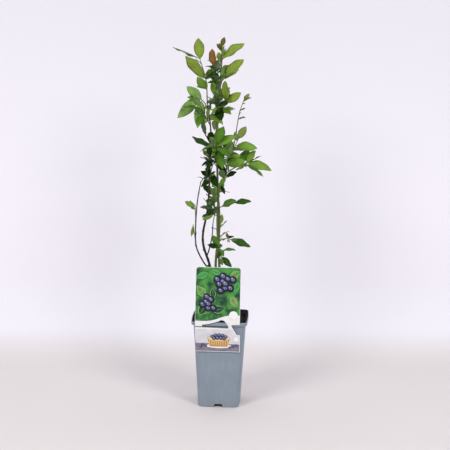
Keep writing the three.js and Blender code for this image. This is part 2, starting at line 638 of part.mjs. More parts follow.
const finishes = {
  pot_plastic: { color: 0x8a95a1, roughness: 0.55, metalness: 0 },
  peat: { color: 0x2a1f18, roughness: 1, metalness: 0 },
  label_card: { color: 0x5f9440, roughness: 0.35, metalness: 0 },
  bark: { color: 0x6b5238, roughness: 0.8, metalness: 0 },
  leaf: { color: 0x5f8a3a, roughness: 0.5, metalness: 0 },
};

const bush = new THREE.Group();

function addPiece(name, body, finish) {
  const { vertProperties, triVerts } = body.getMesh();
  const geometry = new THREE.BufferGeometry();
  geometry.setAttribute('position', new THREE.BufferAttribute(vertProperties, 3));
  geometry.setIndex(new THREE.BufferAttribute(triVerts, 1));
  geometry.computeVertexNormals();
  const mesh = new THREE.Mesh(geometry, new THREE.MeshStandardMaterial(finishes[finish]));
  mesh.name = name;
  bush.add(mesh);
}

addPiece('pot', potSolid(), 'pot_plastic');
addPiece('peat', peatSolid(), 'peat');
addPiece('label', labelSolid(), 'label_card');
for (const [name, limb] of Object.entries(limbs)) addPiece(name, limb.body, 'bark');
for (const mass of masses) addPiece(mass.name, leafMass(mass), 'leaf');

export default bush;
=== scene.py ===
# A young blueberry bush in a square nursery pot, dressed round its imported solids.
# The tables of the plant, pot and label are in millimetres; camera, floor, lights and meshes are in metres.
# +Z is up, and -Y is the label's side.
import math
import random

import bmesh
import bpy
import numpy as np
from mathutils import Matrix, Vector, noise


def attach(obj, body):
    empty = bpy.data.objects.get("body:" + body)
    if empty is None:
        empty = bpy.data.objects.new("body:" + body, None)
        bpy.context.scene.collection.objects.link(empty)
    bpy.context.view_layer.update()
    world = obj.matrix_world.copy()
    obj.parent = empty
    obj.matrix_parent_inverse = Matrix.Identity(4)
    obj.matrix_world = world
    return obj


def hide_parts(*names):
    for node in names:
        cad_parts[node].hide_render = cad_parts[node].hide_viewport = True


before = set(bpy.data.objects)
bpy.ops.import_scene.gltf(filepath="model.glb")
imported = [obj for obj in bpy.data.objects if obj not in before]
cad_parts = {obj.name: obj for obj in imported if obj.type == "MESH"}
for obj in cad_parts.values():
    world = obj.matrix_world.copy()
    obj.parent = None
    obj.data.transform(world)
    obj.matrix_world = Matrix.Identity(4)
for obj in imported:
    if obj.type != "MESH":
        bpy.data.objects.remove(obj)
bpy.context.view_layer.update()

mm = 0.001
scene = bpy.context.scene
upwards = Vector((0, 0, 1))
frontwards = Vector((0, -1, 0))


# camera, floor and light

cameraValues = {
    "place": (0.1171, -2.1088, 0.7515),
    "azimuth": 2.983,  # degrees about +Z, from a camera that looks along +Y
    "down": 9.535,
    "roll": 0.778,
    "focalPixels": 989.0,  # for an image 450 pixels wide
    "imageWidth": 450,
}


def makeCamera(v):
    data = bpy.data.cameras.new("camera")
    data.sensor_width = 36
    data.lens = v["focalPixels"] / v["imageWidth"] * data.sensor_width
    data.clip_start = 0.05
    camera = bpy.data.objects.new("camera", data)
    turn = Matrix.Rotation(math.radians(v["azimuth"]), 4, "Z")
    tilt = Matrix.Rotation(math.radians(90 - v["down"]), 4, "X")
    roll = Matrix.Rotation(math.radians(v["roll"]), 4, "Z")
    camera.matrix_world = Matrix.Translation(v["place"]) @ turn @ tilt @ roll
    scene.collection.objects.link(camera)
    scene.camera = camera


studioValues = {
    "worldColour": (0.965, 0.955, 1.0, 1),
    "worldStrength": 0.40,
    "floorColour": (0.815, 0.772, 0.765, 1),
    "wallColour": (0.938, 0.925, 0.995, 1),
    "halfWidth": 3.6,
    "front": -3.4,
    "bendStart": 0.235,  # where the floor begins to rise into the wall
    "bendRadius": 0.18,
    "wallTop": 3.2,
    "turn": 4.2,  # degrees about +Z, which levels the wall's foot in the view
    "lampColour": (1, 0.985, 0.98),
    "lampAim": (0, 0, 0.4),
    "lamps": [
        {"name": "leftLamp", "place": (-1.25, -1.75, 1.75), "size": 0.8, "power": 25},
        {"name": "rightLamp", "place": (1.4, -1.6, 1.65), "size": 0.8, "power": 23},
        {"name": "wallLamp", "place": (0.1, -0.9, 3.0), "size": 2.2, "power": 1.5},
    ],
}


def makeStudio(v):
    world = bpy.data.worlds.new("studioWorld")
    world.use_nodes = True
    back = world.node_tree.nodes["Background"]
    back.inputs["Color"].default_value = v["worldColour"]
    back.inputs["Strength"].default_value = v["worldStrength"]
    scene.world = world
    scene.view_settings.view_transform = "Standard"

    for row in v["lamps"]:
        data = bpy.data.lights.new(row["name"], "AREA")
        data.size = row["size"]
        data.energy = row["power"]
        data.color = v["lampColour"]
        lamp = bpy.data.objects.new(row["name"], data)
        lamp.location = row["place"]
        aim = Vector(v["lampAim"]) - lamp.location
        lamp.rotation_euler = aim.to_track_quat("-Z", "Y").to_euler()
        scene.collection.objects.link(lamp)

    side = [(v["front"], 0.0), (v["bendStart"], 0.0)]
    for k in range(1, 25):
        angle = k / 24 * math.pi / 2
        side.append((v["bendStart"] + v["bendRadius"] * math.sin(angle),
                     v["bendRadius"] * (1 - math.cos(angle))))
    side.append((v["bendStart"] + v["bendRadius"], v["wallTop"]))
    turn = Matrix.Rotation(math.radians(v["turn"]), 3, "Z")
    behind = [(v["bendStart"], 0.0), (-v["front"], 0.0)]
    points, faces = [], []
    for strip in (side, behind):
        first = len(points)
        points += [turn @ Vector((x, y, z)) for y, z in strip for x in (-v["halfWidth"], v["halfWidth"])]
        faces += [(k, k + 1, k + 3, k + 2) for k in range(first, len(points) - 2, 2)]
    mesh = bpy.data.meshes.new("floor")
    mesh.from_pydata(points, [], faces)
    for face in mesh.polygons:
        face.use_smooth = True
    floor = bpy.data.objects.new("floor", mesh)
    scene.collection.objects.link(floor)
    floor.data.materials.append(floorMaterial(v["floorColour"], v["wallColour"]))


# shader groups for grain, leaf veins, bark and scuffs, whose sockets are all plain numbers

def newGroup(name, inputs, outputs):
    group = bpy.data.node_groups.new(name, "ShaderNodeTree")
    for label, value in inputs.items():
        socket = group.interface.new_socket(label, in_out="INPUT", socket_type="NodeSocketFloat")
        socket.default_value = value
    for label in outputs:
        group.interface.new_socket(label, in_out="OUTPUT", socket_type="NodeSocketFloat")
    return group, group.nodes.new("NodeGroupInput").outputs, group.nodes.new("NodeGroupOutput").inputs


def node(tree, kind, settings=None, **links):
    # a node whose inputs, given by name or as i0, i1 and so on, are sockets or values
    made = tree.nodes.new(kind)
    for key, value in (settings or {}).items():
        setattr(made, key, value)
    for key, value in links.items():
        socket = made.inputs[int(key[1:])] if key[1:].isdigit() else made.inputs[key.replace("_", " ")]
        if isinstance(value, bpy.types.NodeSocket):
            tree.links.new(value, socket)
        else:
            socket.default_value = value
    return made


def calc(tree, operation, *values):
    inputs = {"i" + str(k): value for k, value in enumerate(values)}
    return node(tree, "ShaderNodeMath", {"operation": operation}, **inputs).outputs[0]


def times(tree, a, b):
    return calc(tree, "MULTIPLY", a, b)


def plus(tree, a, b):
    return calc(tree, "ADD", a, b)


def ramp(tree, value, start, end, low=0.0, high=1.0, soft=False):
    # low up to start and high from end on, with a straight or a soft rise between
    kind = {"interpolation_type": "SMOOTHSTEP"} if soft else None
    return node(tree, "ShaderNodeMapRange", kind, Value=value, From_Min=start, From_Max=end,
                To_Min=low, To_Max=high).outputs["Result"]


def objectPlace(tree):
    return node(tree, "ShaderNodeTexCoord").outputs["Object"]


def heightOf(tree, place):
    return node(tree, "ShaderNodeSeparateXYZ", None, Vector=place).outputs["Z"]


def perMetre(tree, millimetres):
    return calc(tree, "DIVIDE", 1000.0, millimetres)


def noiseAt(tree, place, scale, detail, roughness=0.5):
    return node(tree, "ShaderNodeTexNoise", None, Vector=place, Scale=scale, Detail=detail,
                Roughness=roughness).outputs["Fac"]


def stretched(tree, place, amounts):
    return node(tree, "ShaderNodeVectorMath", {"operation": "MULTIPLY"}, i0=place, i1=amounts).outputs[0]


def grainGroup():
    # fine relief and a light and dark patchiness, at two scales in millimetres
    group, given, result = newGroup("fineGrain", {"Grain Size": 1.0, "Patch Size": 20.0},
                                    ["Height", "Patches"])
    place = objectPlace(group)
    grain = noiseAt(group, place, perMetre(group, given["Grain Size"]), 3.0)
    patches = noiseAt(group, place, perMetre(group, given["Patch Size"]), 2.0)
    group.links.new(grain, result["Height"])
    group.links.new(ramp(group, patches, 0.35, 0.65), result["Patches"])
    return group


def veinGroup():
    # midrib and arching side veins, from a leaf's own map: x across the blade, y along it
    group, given, result = newGroup("leafVeins", {"Pairs": 7.0, "Slope": 1.7, "Vein Width": 0.16},
                                    ["Mask", "Quilt", "Margin"])
    leafMap = node(group, "ShaderNodeUVMap", {"uv_map": "leafMap"}).outputs["UV"]
    place = node(group, "ShaderNodeSeparateXYZ", None, Vector=leafMap).outputs
    across = times(group, calc(group, "ABSOLUTE", calc(group, "SUBTRACT", place["X"], 0.5)), 2.0)
    back = times(group, calc(group, "POWER", across, 0.8), given["Slope"])
    phase = calc(group, "SUBTRACT", times(group, place["Y"], given["Pairs"]), back)
    off = calc(group, "ABSOLUTE", calc(group, "SUBTRACT", calc(group, "FRACT", phase), 0.5))
    sideVein = ramp(group, off, 0.0, given["Vein Width"], 0.75, 0.0, soft=True)
    midrib = ramp(group, across, 0.03, 0.12, 1.0, 0.0, soft=True)
    group.links.new(calc(group, "MAXIMUM", sideVein, midrib), result["Mask"])
    group.links.new(ramp(group, across, 0.72, 1.0, soft=True), result["Margin"])
    group.links.new(times(group, off, 2.0), result["Quilt"])
    return group


def barkGroup():
    # cracks and ridges that run along a stem, and small pale pores
    group, given, result = newGroup("barkRidges", {"Ridge Size": 1.2, "Stretch": 0.12},
                                    ["Height", "Pores"])
    place = objectPlace(group)
    squeeze = node(group, "ShaderNodeCombineXYZ", None, X=1.0, Y=1.0, Z=given["Stretch"]).outputs[0]
    ridges = noiseAt(group, stretched(group, place, squeeze), perMetre(group, given["Ridge Size"]), 4.0, 0.6)
    pores = node(group, "ShaderNodeTexVoronoi", None, Vector=place, Scale=260.0).outputs["Distance"]
    group.links.new(ridges, result["Height"])
    group.links.new(ramp(group, pores, 0.10, 0.22, 1.0, 0.0, soft=True), result["Pores"])
    return group


def scuffGroup():
    # faint rubs in long streaks, and dust that gathers low down
    group, given, result = newGroup("scuffs", {"Streak Size": 9.0, "Dust Top": 0.05}, ["Streaks", "Dust"])
    place = objectPlace(group)
    long = stretched(group, place, (1.0, 1.0, 0.15))
    streaks = noiseAt(group, long, perMetre(group, given["Streak Size"]), 5.0, 0.65)
    low = ramp(group, heightOf(group, place), 0.0, given["Dust Top"], 1.0, 0.0, soft=True)
    group.links.new(ramp(group, streaks, 0.52, 0.75), result["Streaks"])
    group.links.new(times(group, low, noiseAt(group, place, 70.0, 4.0)), result["Dust"])
    return group


groups = {"grain": grainGroup(), "veins": veinGroup(), "bark": barkGroup(), "scuffs": scuffGroup()}


# materials

def newMaterial(name, roughness, specular=0.5):
    material = bpy.data.materials.new(name)
    material.use_nodes = True
    shader = material.node_tree.nodes["Principled BSDF"]
    shader.inputs["Roughness"].default_value = roughness
    shader.inputs["Specular IOR Level"].default_value = specular
    return material, material.node_tree, shader


def grouped(tree, name, **values):
    made = tree.nodes.new("ShaderNodeGroup")
    made.node_tree = groups[name]
    for key, value in values.items():
        made.inputs[key.replace("_", " ")].default_value = value
    return made


def blend(tree, factor, colourA, colourB, kind="MIX"):
    # a colour mix, whose inputs are sockets or plain colours
    made = tree.nodes.new("ShaderNodeMix")
    made.data_type = "RGBA"
    made.blend_type = kind
    for k, value in ((0, factor), (6, colourA), (7, colourB)):
        if isinstance(value, bpy.types.NodeSocket):
            tree.links.new(value, made.inputs[k])
        else:
            made.inputs[k].default_value = value
    return made.outputs[2]


def relief(tree, shader, height, strength, depth):
    bump = node(tree, "ShaderNodeBump", None, Strength=strength, Distance=depth, Height=height)
    tree.links.new(bump.outputs["Normal"], shader.inputs["Normal"])


def roughen(tree, shader, socket, low, high):
    tree.links.new(ramp(tree, socket, 0.0, 1.0, low, high), shader.inputs["Roughness"])


def shade(colour, amount):
    return (colour[0] * amount, colour[1] * amount, colour[2] * amount, 1)


def grainyMaterial(name, look, colour, other):
    # one colour clouded with another, over a fine grain
    material, tree, shader = newMaterial(name, look["roughness"], look["specular"])
    grain = grouped(tree, "grain", Grain_Size=look["grain"], Patch_Size=look["patch"])
    tree.links.new(blend(tree, grain.outputs["Patches"], colour, other), shader.inputs["Base Color"])
    if "gloss" in look:
        roughen(tree, shader, grain.outputs["Height"], *look["gloss"])
    relief(tree, shader, grain.outputs["Height"], *look["relief"])
    return material


def floorMaterial(colour, wallColour):
    material, tree, shader = newMaterial("paleFloor", 0.7, 0.2)
    grain = grouped(tree, "grain", Grain_Size=4.0, Patch_Size=300.0)
    height = heightOf(tree, objectPlace(tree))
    rise = ramp(tree, height, 0.0, 0.07, soft=True)
    # painted shade: the wall's colour darkens towards its top, for the lamps' light falling off up the wall
    high = ramp(tree, height, 0.4, 0.9)
    patchy = blend(tree, grain.outputs["Patches"], shade(colour, 0.99), colour)
    wall = blend(tree, high, wallColour, shade(wallColour, 0.87))
    tree.links.new(blend(tree, rise, patchy, wall), shader.inputs["Base Color"])
    # the wall is clear from behind, so that the plant can be looked at from there
    behind = node(tree, "ShaderNodeNewGeometry").outputs["Backfacing"]
    clear = node(tree, "ShaderNodeBsdfTransparent").outputs["BSDF"]
    oneWay = node(tree, "ShaderNodeMixShader", None, i0=behind, i1=shader.outputs["BSDF"], i2=clear)
    tree.links.new(oneWay.outputs["Shader"], tree.nodes["Material Output"].inputs["Surface"])
    return material


# smooth curves through a course, which is a row of points

def smoothed(a, b, c, d, w):
    # the place at w between b and c, on a curve that also passes a and d
    turnIn, turnOut = (c - a) / 2, (d - b) / 2
    return ((2 * b - 2 * c + turnIn + turnOut) * w ** 3
            + (-3 * b + 3 * c - 2 * turnIn - turnOut) * w * w + turnIn * w + b)


def spanAt(course, share):
    # which span of the course a share of it falls in, and how far along that span
    spans = len(course) - 1
    place = min(max(share, 0), 1) * spans
    k = min(int(place), spans - 1)
    return k, place - k


def flatPointOn(course, share):
    # for a course of y and z; its ends stand as their own neighbours
    k, w = spanAt(course, share)
    around = [course[min(max(k + j, 0), len(course) - 1)] for j in (-1, 0, 1, 2)]
    return [smoothed(*values, w) for values in zip(*around)]


def pointOn(course, share):
    # for a course of vectors; its ends run straight on
    k, w = spanAt(course, share)
    b, c = course[k], course[k + 1]
    a = course[k - 1] if k > 0 else 2 * b - c
    d = course[k + 2] if k + 2 < len(course) else 2 * c - b
    return smoothed(a, b, c, d, w)


def headingOn(course, share):
    return (pointOn(course, min(1, share + 0.01)) - pointOn(course, max(0, share - 0.01))).normalized()


def courseLength(course):
    spots = [pointOn(course, k / 40) for k in range(41)]
    return sum((b - a).length for a, b in zip(spots, spots[1:]))


# loose mesh parts that are joined into one piece

def newParts():
    return {"points": [], "faces": [], "slots": [], "map": [], "materials": []}


def slotOf(parts, material):
    if material not in parts["materials"]:
        parts["materials"].append(material)
    return parts["materials"].index(material)


def addPart(parts, points, faces, material, places=None):
    start = len(parts["points"])
    index = slotOf(parts, material)
    parts["points"].extend(points)
    parts["faces"].extend([tuple(start + k for k in face) for face in faces])
    parts["slots"].extend([index] * len(faces))
    parts["map"].extend(places or [(0.5, 0.5)] * len(points))


def makePiece(name, parts, nodes, smooth=True, sharpAngle=None):
    mesh = bpy.data.meshes.new(name)
    mesh.from_pydata([(p[0] * mm, p[1] * mm, p[2] * mm) for p in parts["points"]], [], parts["faces"])
    for material in parts["materials"]:
        mesh.materials.append(material)
    mesh.polygons.foreach_set("material_index", parts["slots"])
    mesh.polygons.foreach_set("use_smooth", [smooth] * len(mesh.polygons))
    layer = mesh.uv_layers.new(name="leafMap")
    corners = [0] * len(mesh.loops)
    mesh.loops.foreach_get("vertex_index", corners)
    layer.data.foreach_set("uv", [value for k in corners for value in parts["map"][k]])
    if sharpAngle is not None:
        mesh.set_sharp_from_angle(angle=math.radians(sharpAngle))
    mesh.validate()
    piece = bpy.data.objects.new(name, mesh)
    scene.collection.objects.link(piece)
    dress(piece, nodes)


def dress(piece, nodes):
    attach(piece, "root")
    if nodes:
        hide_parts(*nodes)


def loftFaces(sizes):
    # faces through a row of rings, closed at both ends; a ring of one point is a tip
    faces = []
    start = 0
    for here, there in zip(sizes, sizes[1:]):
        for k in range(max(here, there)):
            a, b = start + k % here, start + (k + 1) % here
            c, d = start + here + k % there, start + here + (k + 1) % there
            if here == 1:
                faces.append((a, d, c))
            elif there == 1:
                faces.append((a, b, c))
            else:
                faces.append((a, b, d, c))
        start += here
    if sizes[0] > 2:
        faces.append(tuple(range(sizes[0] - 1, -1, -1)))
    if sizes[-1] > 2:
        faces.append(tuple(range(start, start + sizes[-1])))
    return faces


def loft(parts, rings, material):
    addPart(parts, [p for ring in rings for p in ring], loftFaces([len(ring) for ring in rings]), material)


# pot

potValues = {
    "height": 195, "rimWidth": 123, "bodyWidth": 113.5, "footWidth": 92.5, "bandHeight": 8,
    "wall": 1.4, "corner": 10.5, "bulge": 1.6,
    "footRound": 2.2, "lipRound": 0.65, "cornerSteps": 12, "sideSteps": 14,
    "bandEdge": [(1.2, 0.1), (0.3, 0.5), (0, 1.2)],  # narrower than the rim, and above the band's foot
    "drainWide": 22, "drainNarrow": 15, "drainHigh": 7.8, "drainInner": 13,
    "holeRadius": 5, "holeAt": 31,
    "colour": (0.236, 0.296, 0.352, 1),
    "innerShade": (0.016, 0.014, 0.013, 1), "innerShadeEdge": (0.045, 0.045, 0.046, 1),  # painted shade: the inner walls are coloured near-black, for the shade inside the pot
    "innerShadeLook": {"roughness": 0.8, "specular": 0.15, "grain": 1.2, "patch": 7.0, "relief": (0.5, 0.0006)},
    "streakColour": (0.36, 0.41, 0.46, 1),
    "dustColour": (0.30, 0.29, 0.28, 1),
    "roughness": (0.42, 0.58),
}


def potRing(v, width, z, inset=0.0):
    # a square ring with round corners, whose sides bow out a little
    corner = v["corner"] - inset
    straight = width / 2 - v["bulge"] - corner
    ring = []
    for side in range(4):
        turn = Matrix.Rotation(side * math.pi / 2, 3, "Z")
        for k in range(v["cornerSteps"] + 1):
            angle = k / v["cornerSteps"] * math.pi / 2
            ring.append(turn @ Vector((straight + corner * math.cos(angle),
                                       straight + corner * math.sin(angle), z)))
        for k in range(1, v["sideSteps"]):
            along = 1 - 2 * k / v["sideSteps"]
            out = straight + corner + v["bulge"] * math.cos(along * math.pi / 2)
            ring.append(turn @ Vector((along * straight, out, z)))
    return ring


def bodyWidthAt(v, z):
    return v["footWidth"] + (v["bodyWidth"] - v["footWidth"]) * z / (v["height"] - v["bandHeight"])


def solidFromRings(name, rings):
    mesh = bpy.data.meshes.new(name)
    points = [p * mm for ring in rings for p in ring]
    mesh.from_pydata(points, [], loftFaces([len(ring) for ring in rings]))
    mesh.validate()
    made = bpy.data.objects.new(name, mesh)
    scene.collection.objects.link(made)
    return made


def potOutside(v):
    foot, lip = v["footRound"], v["lipRound"]
    bandFoot = v["height"] - v["bandHeight"]
    rows = []
    for k in range(6):
        angle = k / 5 * math.pi / 2
        z = foot * (1 - math.cos(angle))
        rows.append((bodyWidthAt(v, z) - 2 * foot * (1 - math.sin(angle)), z))
    for k in range(1, 9):
        z = foot + (bandFoot - foot) * k / 8
        rows.append((bodyWidthAt(v, z), z))
    rows += [(v["rimWidth"] - narrower, bandFoot + rise) for narrower, rise in v["bandEdge"]]
    for k in range(5):
        angle = k / 4 * math.pi / 2
        width = v["rimWidth"] - 2 * lip * (1 - math.cos(angle))
        rows.append((width, v["height"] - lip * (1 - math.sin(angle))))
    return solidFromRings("potBody", [potRing(v, width, z) for width, z in rows])


def potInside(v):
    wall, lip = v["wall"], v["lipRound"]
    bandFoot = v["height"] - v["bandHeight"]
    shelf = bandFoot + wall
    foot, body, rim = (v[key] - 2 * wall for key in ("footWidth", "bodyWidth", "rimWidth"))
    rows = [(foot - 3, wall), (foot - 0.6, wall + 0.6), (foot, wall + 2), (body, bandFoot),
            (body + 0.6, shelf - 0.4), (body + 2, shelf), (rim - 0.8, shelf + 0.3), (rim, shelf + 1.1),
            (rim, v["height"] - lip), (rim + lip, v["height"] + 0.01), (rim + lip, v["height"] + 3)]
    return solidFromRings("potRoom", [potRing(v, width, z, wall) for width, z in rows])


def drainPrism(v, turn, spare):
    # one drain channel, from the middle out through the wall
    high = v["drainHigh"] + spare
    side = [(-v["drainWide"] / 2 - spare, -2), (v["drainWide"] / 2 + spare, -2),
            (v["drainWide"] / 2 + spare, 0), (v["drainNarrow"] / 2 + spare, high),
            (-v["drainNarrow"] / 2 - spare, high), (-v["drainWide"] / 2 - spare, 0)]
    rings = []
    for out in (v["drainInner"] - spare, v["rimWidth"] / 2 + 4):
        rings.append([turn @ Vector((out, across, z)) for across, z in side])
    return solidFromRings("drainCut", rings)


def drainHole(v, turn):
    rings = []
    for z in (v["drainHigh"] - 2, v["drainHigh"] + 4):
        ring = []
        for k in range(24):
            angle = k / 24 * 2 * math.pi
            ring.append(turn @ Vector((v["holeAt"] + v["holeRadius"] * math.cos(angle),
                                       v["holeRadius"] * math.sin(angle), z)))
        rings.append(ring)
    return solidFromRings("holeCut", rings)


def cutAway(body, cuts):
    for cut in cuts:
        cutter = body.modifiers.new("cut", "BOOLEAN")
        cutter.operation = "DIFFERENCE"
        cutter.solver = "EXACT"
        cutter.object = cut
    bpy.context.view_layer.update()
    graph = bpy.context.evaluated_depsgraph_get()
    mesh = bpy.data.meshes.new_from_object(body.evaluated_get(graph))
    body.modifiers.clear()
    old = body.data
    body.data = mesh
    bpy.data.meshes.remove(old)
    for cut in cuts:
        bpy.data.objects.remove(cut)


def potMaterial(v):
    material, tree, shader = newMaterial("potPlastic", 0.5, 0.45)
    grain = grouped(tree, "grain", Grain_Size=0.8, Patch_Size=45.0)
    scuff = grouped(tree, "scuffs", Streak_Size=7.0, Dust_Top=0.045)
    plain = blend(tree, grain.outputs["Patches"], shade(v["colour"], 0.96), shade(v["colour"], 1.04))
    rubbed = blend(tree, times(tree, scuff.outputs["Streaks"], 0.35), plain, v["streakColour"])
    dusty = blend(tree, times(tree, scuff.outputs["Dust"], 0.5), rubbed, v["dustColour"])
    tree.links.new(dusty, shader.inputs["Base Color"])
    roughen(tree, shader, grain.outputs["Patches"], *v["roughness"])
    relief(tree, shader, grain.outputs["Height"], 0.12, 0.0004)
    return material


def isInside(v, face):
    # the inner wall and its step, below the lip, which take the painted shade
    inwards = face.normal.x * face.center.x + face.normal.y * face.center.y < -0.2 * face.center.xy.length
    step = face.normal.z > 0.5 and face.center.z > 0.9 * v["height"] * mm
    return face.center.z < (v["height"] - 1.5) * mm and (inwards or step)


def makePot(v):
    turns = [Matrix.Rotation(k * math.pi / 2, 3, "Z") for k in range(4)]
    room = potInside(v)
    cutAway(room, [drainPrism(v, turn, v["wall"]) for turn in turns])
    body = potOutside(v)
    drains = [drainPrism(v, turn, 0) for turn in turns] + [drainHole(v, turn) for turn in turns]
    cutAway(body, [room] + drains)
    body.name = "squarePot"
    body.data.name = "squarePot"
    body.data.materials.clear()
    body.data.materials.append(potMaterial(v))
    # painted shade: the inner faces get a near-black colour, for the shade inside the pot
    body.data.materials.append(grainyMaterial("paintedInnerShade", v["innerShadeLook"], v["innerShade"], v["innerShadeEdge"]))
    for face in body.data.polygons:
        face.use_smooth = True
        face.material_index = 1 if isInside(v, face) else 0
    body.data.set_sharp_from_angle(angle=math.radians(32))
    dress(body, ["pot"])


# peat

peatValues = {
    "top": 182, "bottom": 10.4, "gap": 0.5, "bumps": 1.3, "ringSteps": 22,
    "crumbs": 420, "crumbSize": (0.8, 2.6), "chips": 46, "chipSize": (3.0, 7.5), "seed": 5,
    "crumbForm": (1, 0.8, 0.7), "chipWide": (0.35, 0.6), "chipThick": (0.2, 0.35), "lumps": 0.45,
    "colour": (0.011, 0.008, 0.006, 1), "dryColour": (0.036, 0.025, 0.018, 1),
    "chipColour": (0.055, 0.032, 0.020, 1),
    "look": {"roughness": 0.95, "specular": 0.25, "grain": 1.3, "patch": 6.0, "relief": (0.9, 0.0012)},
}


def peatHeight(v, x, y):
    rough = noise.noise(Vector((x, y, 0)) / 9) + 0.6 * noise.noise(Vector((x, y, 30)) / 3.2)
    return v["top"] - 0.9 + v["bumps"] * rough


def makePeat(v, pot):
    parts = newParts()
    material = grainyMaterial("moistPeat", v["look"], v["colour"], v["dryColour"])
    spare = pot["wall"] + v["gap"]
    rings = []
    for z in (v["bottom"], v["top"] - 4):
        rings.append(potRing(pot, bodyWidthAt(pot, z) - 2 * spare, z, spare))
    edge = potRing(pot, bodyWidthAt(pot, v["top"]) - 2 * spare, v["top"], spare)
    for k in range(v["ringSteps"] + 1):
        share = 1 - 0.985 * k / v["ringSteps"]
        spots = [(p.x * share, p.y * share) for p in edge]
        rings.append([Vector((x, y, peatHeight(v, x, y))) for x, y in spots])
    loft(parts, rings, material)
    makePiece("peatTop", parts, ["peat"])

    rng = random.Random(v["seed"])
    crumbs = newParts()
    chip = grainyMaterial("barkChip", v["look"], v["chipColour"], shade(v["chipColour"], 1.7))
    ball = lumpShape()
    reach = bodyWidthAt(pot, v["top"]) / 2 - spare - 4
    for k in range(v["crumbs"] + v["chips"]):
        isChip = k >= v["crumbs"]
        size = rng.uniform(*(v["chipSize"] if isChip else v["crumbSize"]))
        x, y = rng.uniform(-reach, reach), rng.uniform(-reach, reach)
        flat = Vector(v["crumbForm"])
        if isChip:
            flat = Vector((1, rng.uniform(*v["chipWide"]), rng.uniform(*v["chipThick"])))
        turn = Matrix.Rotation(rng.uniform(0, 2 * math.pi), 3, "Z") @ Matrix.Rotation(
            rng.uniform(-0.5, 0.5), 3, "X")
        centre = Vector((x, y, peatHeight(v, x, y) + 0.15 * size * flat.z))
        shift = Vector((rng.uniform(-50, 50), 0, 0))
        points = []
        for p in ball["points"]:
            lump = p * (1 + v["lumps"] * noise.noise(p * 1.6 + shift))
            lump = Vector((lump.x * flat.x, lump.y * flat.y, lump.z * flat.z))
            points.append(centre + turn @ lump * size / 2)
        addPart(crumbs, points, ball["faces"], chip if isChip else material)
    makePiece("peatCrumbs", crumbs, ["peat"], smooth=False)


def lumpShape():
    shape = bmesh.new()
    bmesh.ops.create_icosphere(shape, subdivisions=1, radius=1)
    points = [vertex.co.copy() for vertex in shape.verts]
    faces = [tuple(vertex.index for vertex in face.verts) for face in shape.faces]
    shape.free()
    return {"points": points, "faces": faces}


# label: a printed card hooked over the rim

labelValues = {
    "thick": 0.8, "edgeRound": 0.08, "left": -51, "right": 45, "top": 312, "corner": 6,
    "course": [(-56.3, 129.5), (-60, 160), (-62.2, 186.5), (-62.2, 196), (-56, 256), (-42, 312)],
    "tongue": [(-61.9, 199.5), (-61.1, 197), (-59.3, 195.9), (-57.1, 195.7), (-55.6, 194), (-54.1, 189),
               (-52.7, 164)],
    "tongueLeft": -26, "tongueRight": -2, "tongueSteps": 30,
    "flap": [(-49, 129.5), (45.5, 129.5), (45.5, 168.2), (38.5, 168.8), (27, 188.5), (27.4, 190.8),
             (45, 191.6)],
    "leftNeck": (-51, 189.5),
    "slot": [(-36, 186), (-36, 189), (-28.9, 189.7), (-21.7, 190.9), (-14.5, 192.5), (-7.3, 194.7),
             (-0.5, 197.3), (6, 200.5), (11, 200), (15.5, 195), (20.5, 188), (20.5, 184.8), (-8, 185.6)],
    "strip": 6, "layer": 0.07,  # the card bends every strip; each printed layer lies this much proud
    "cardColour": (0.88, 0.88, 0.88, 1),
    "look": {"roughness": 0.34, "specular": 0.5, "grain": 0.5, "gloss": (0.3, 0.42),
             "relief": (0.05, 0.0002)},
}


labelSide = [flatPointOn(labelValues["course"], k / 240) for k in range(241)]


def cardAt(z):
    # the card's y at a height, and how fast it changes
    for (y0, z0), (y1, z1) in zip(labelSide, labelSide[1:]):
        if z <= z1:
            break
    slope = (y1 - y0) / (z1 - z0)
    return y0 + (z - z0) * slope, slope


def onCard(x, z, proud):
    y, slope = cardAt(z)
    out = Vector((0, -1, slope)).normalized()
    return Vector((x, y, z)) + out * proud


def bendShape(shape, strip):
    # cuts a flat shape, drawn in x and z with its depth in y, into strips and lays it on the card
    heights = [vertex.co.z for vertex in shape.verts]
    z = math.floor(min(heights) / strip) * strip + strip
    while z < max(heights):
        bmesh.ops.bisect_plane(shape, geom=shape.verts[:] + shape.edges[:] + shape.faces[:],
                               plane_co=(0, 0, z), plane_no=(0, 0, 1))
        z += strip
    bmesh.ops.triangulate(shape, faces=shape.faces[:])
    for vertex in shape.verts:
        vertex.co = onCard(vertex.co.x, vertex.co.z, vertex.co.y)


def addShape(parts, shape, material):
    shape.verts.index_update()
    points = [vertex.co.copy() for vertex in shape.verts]
    faces = [tuple(vertex.index for vertex in face.verts) for face in shape.faces]
    addPart(parts, points, faces, material)
    shape.free()


def arcPoints(centreX, centreZ, radius, start, end, steps):
    angles = [math.radians(start + (end - start) * k / steps) for k in range(steps + 1)]
    return [(centreX + radius * math.cos(a), centreZ + radius * math.sin(a)) for a in angles]


def roundTop(v, inset=0.0):
    # the card's two upper corners, drawn in by an inset
    c = v["corner"] - inset
    top = v["top"] - inset - c
    return (arcPoints(v["right"] - inset - c, top, c, 0, 90, 8)
            + arcPoints(v["left"] + inset + c, top, c, 90, 180, 8))


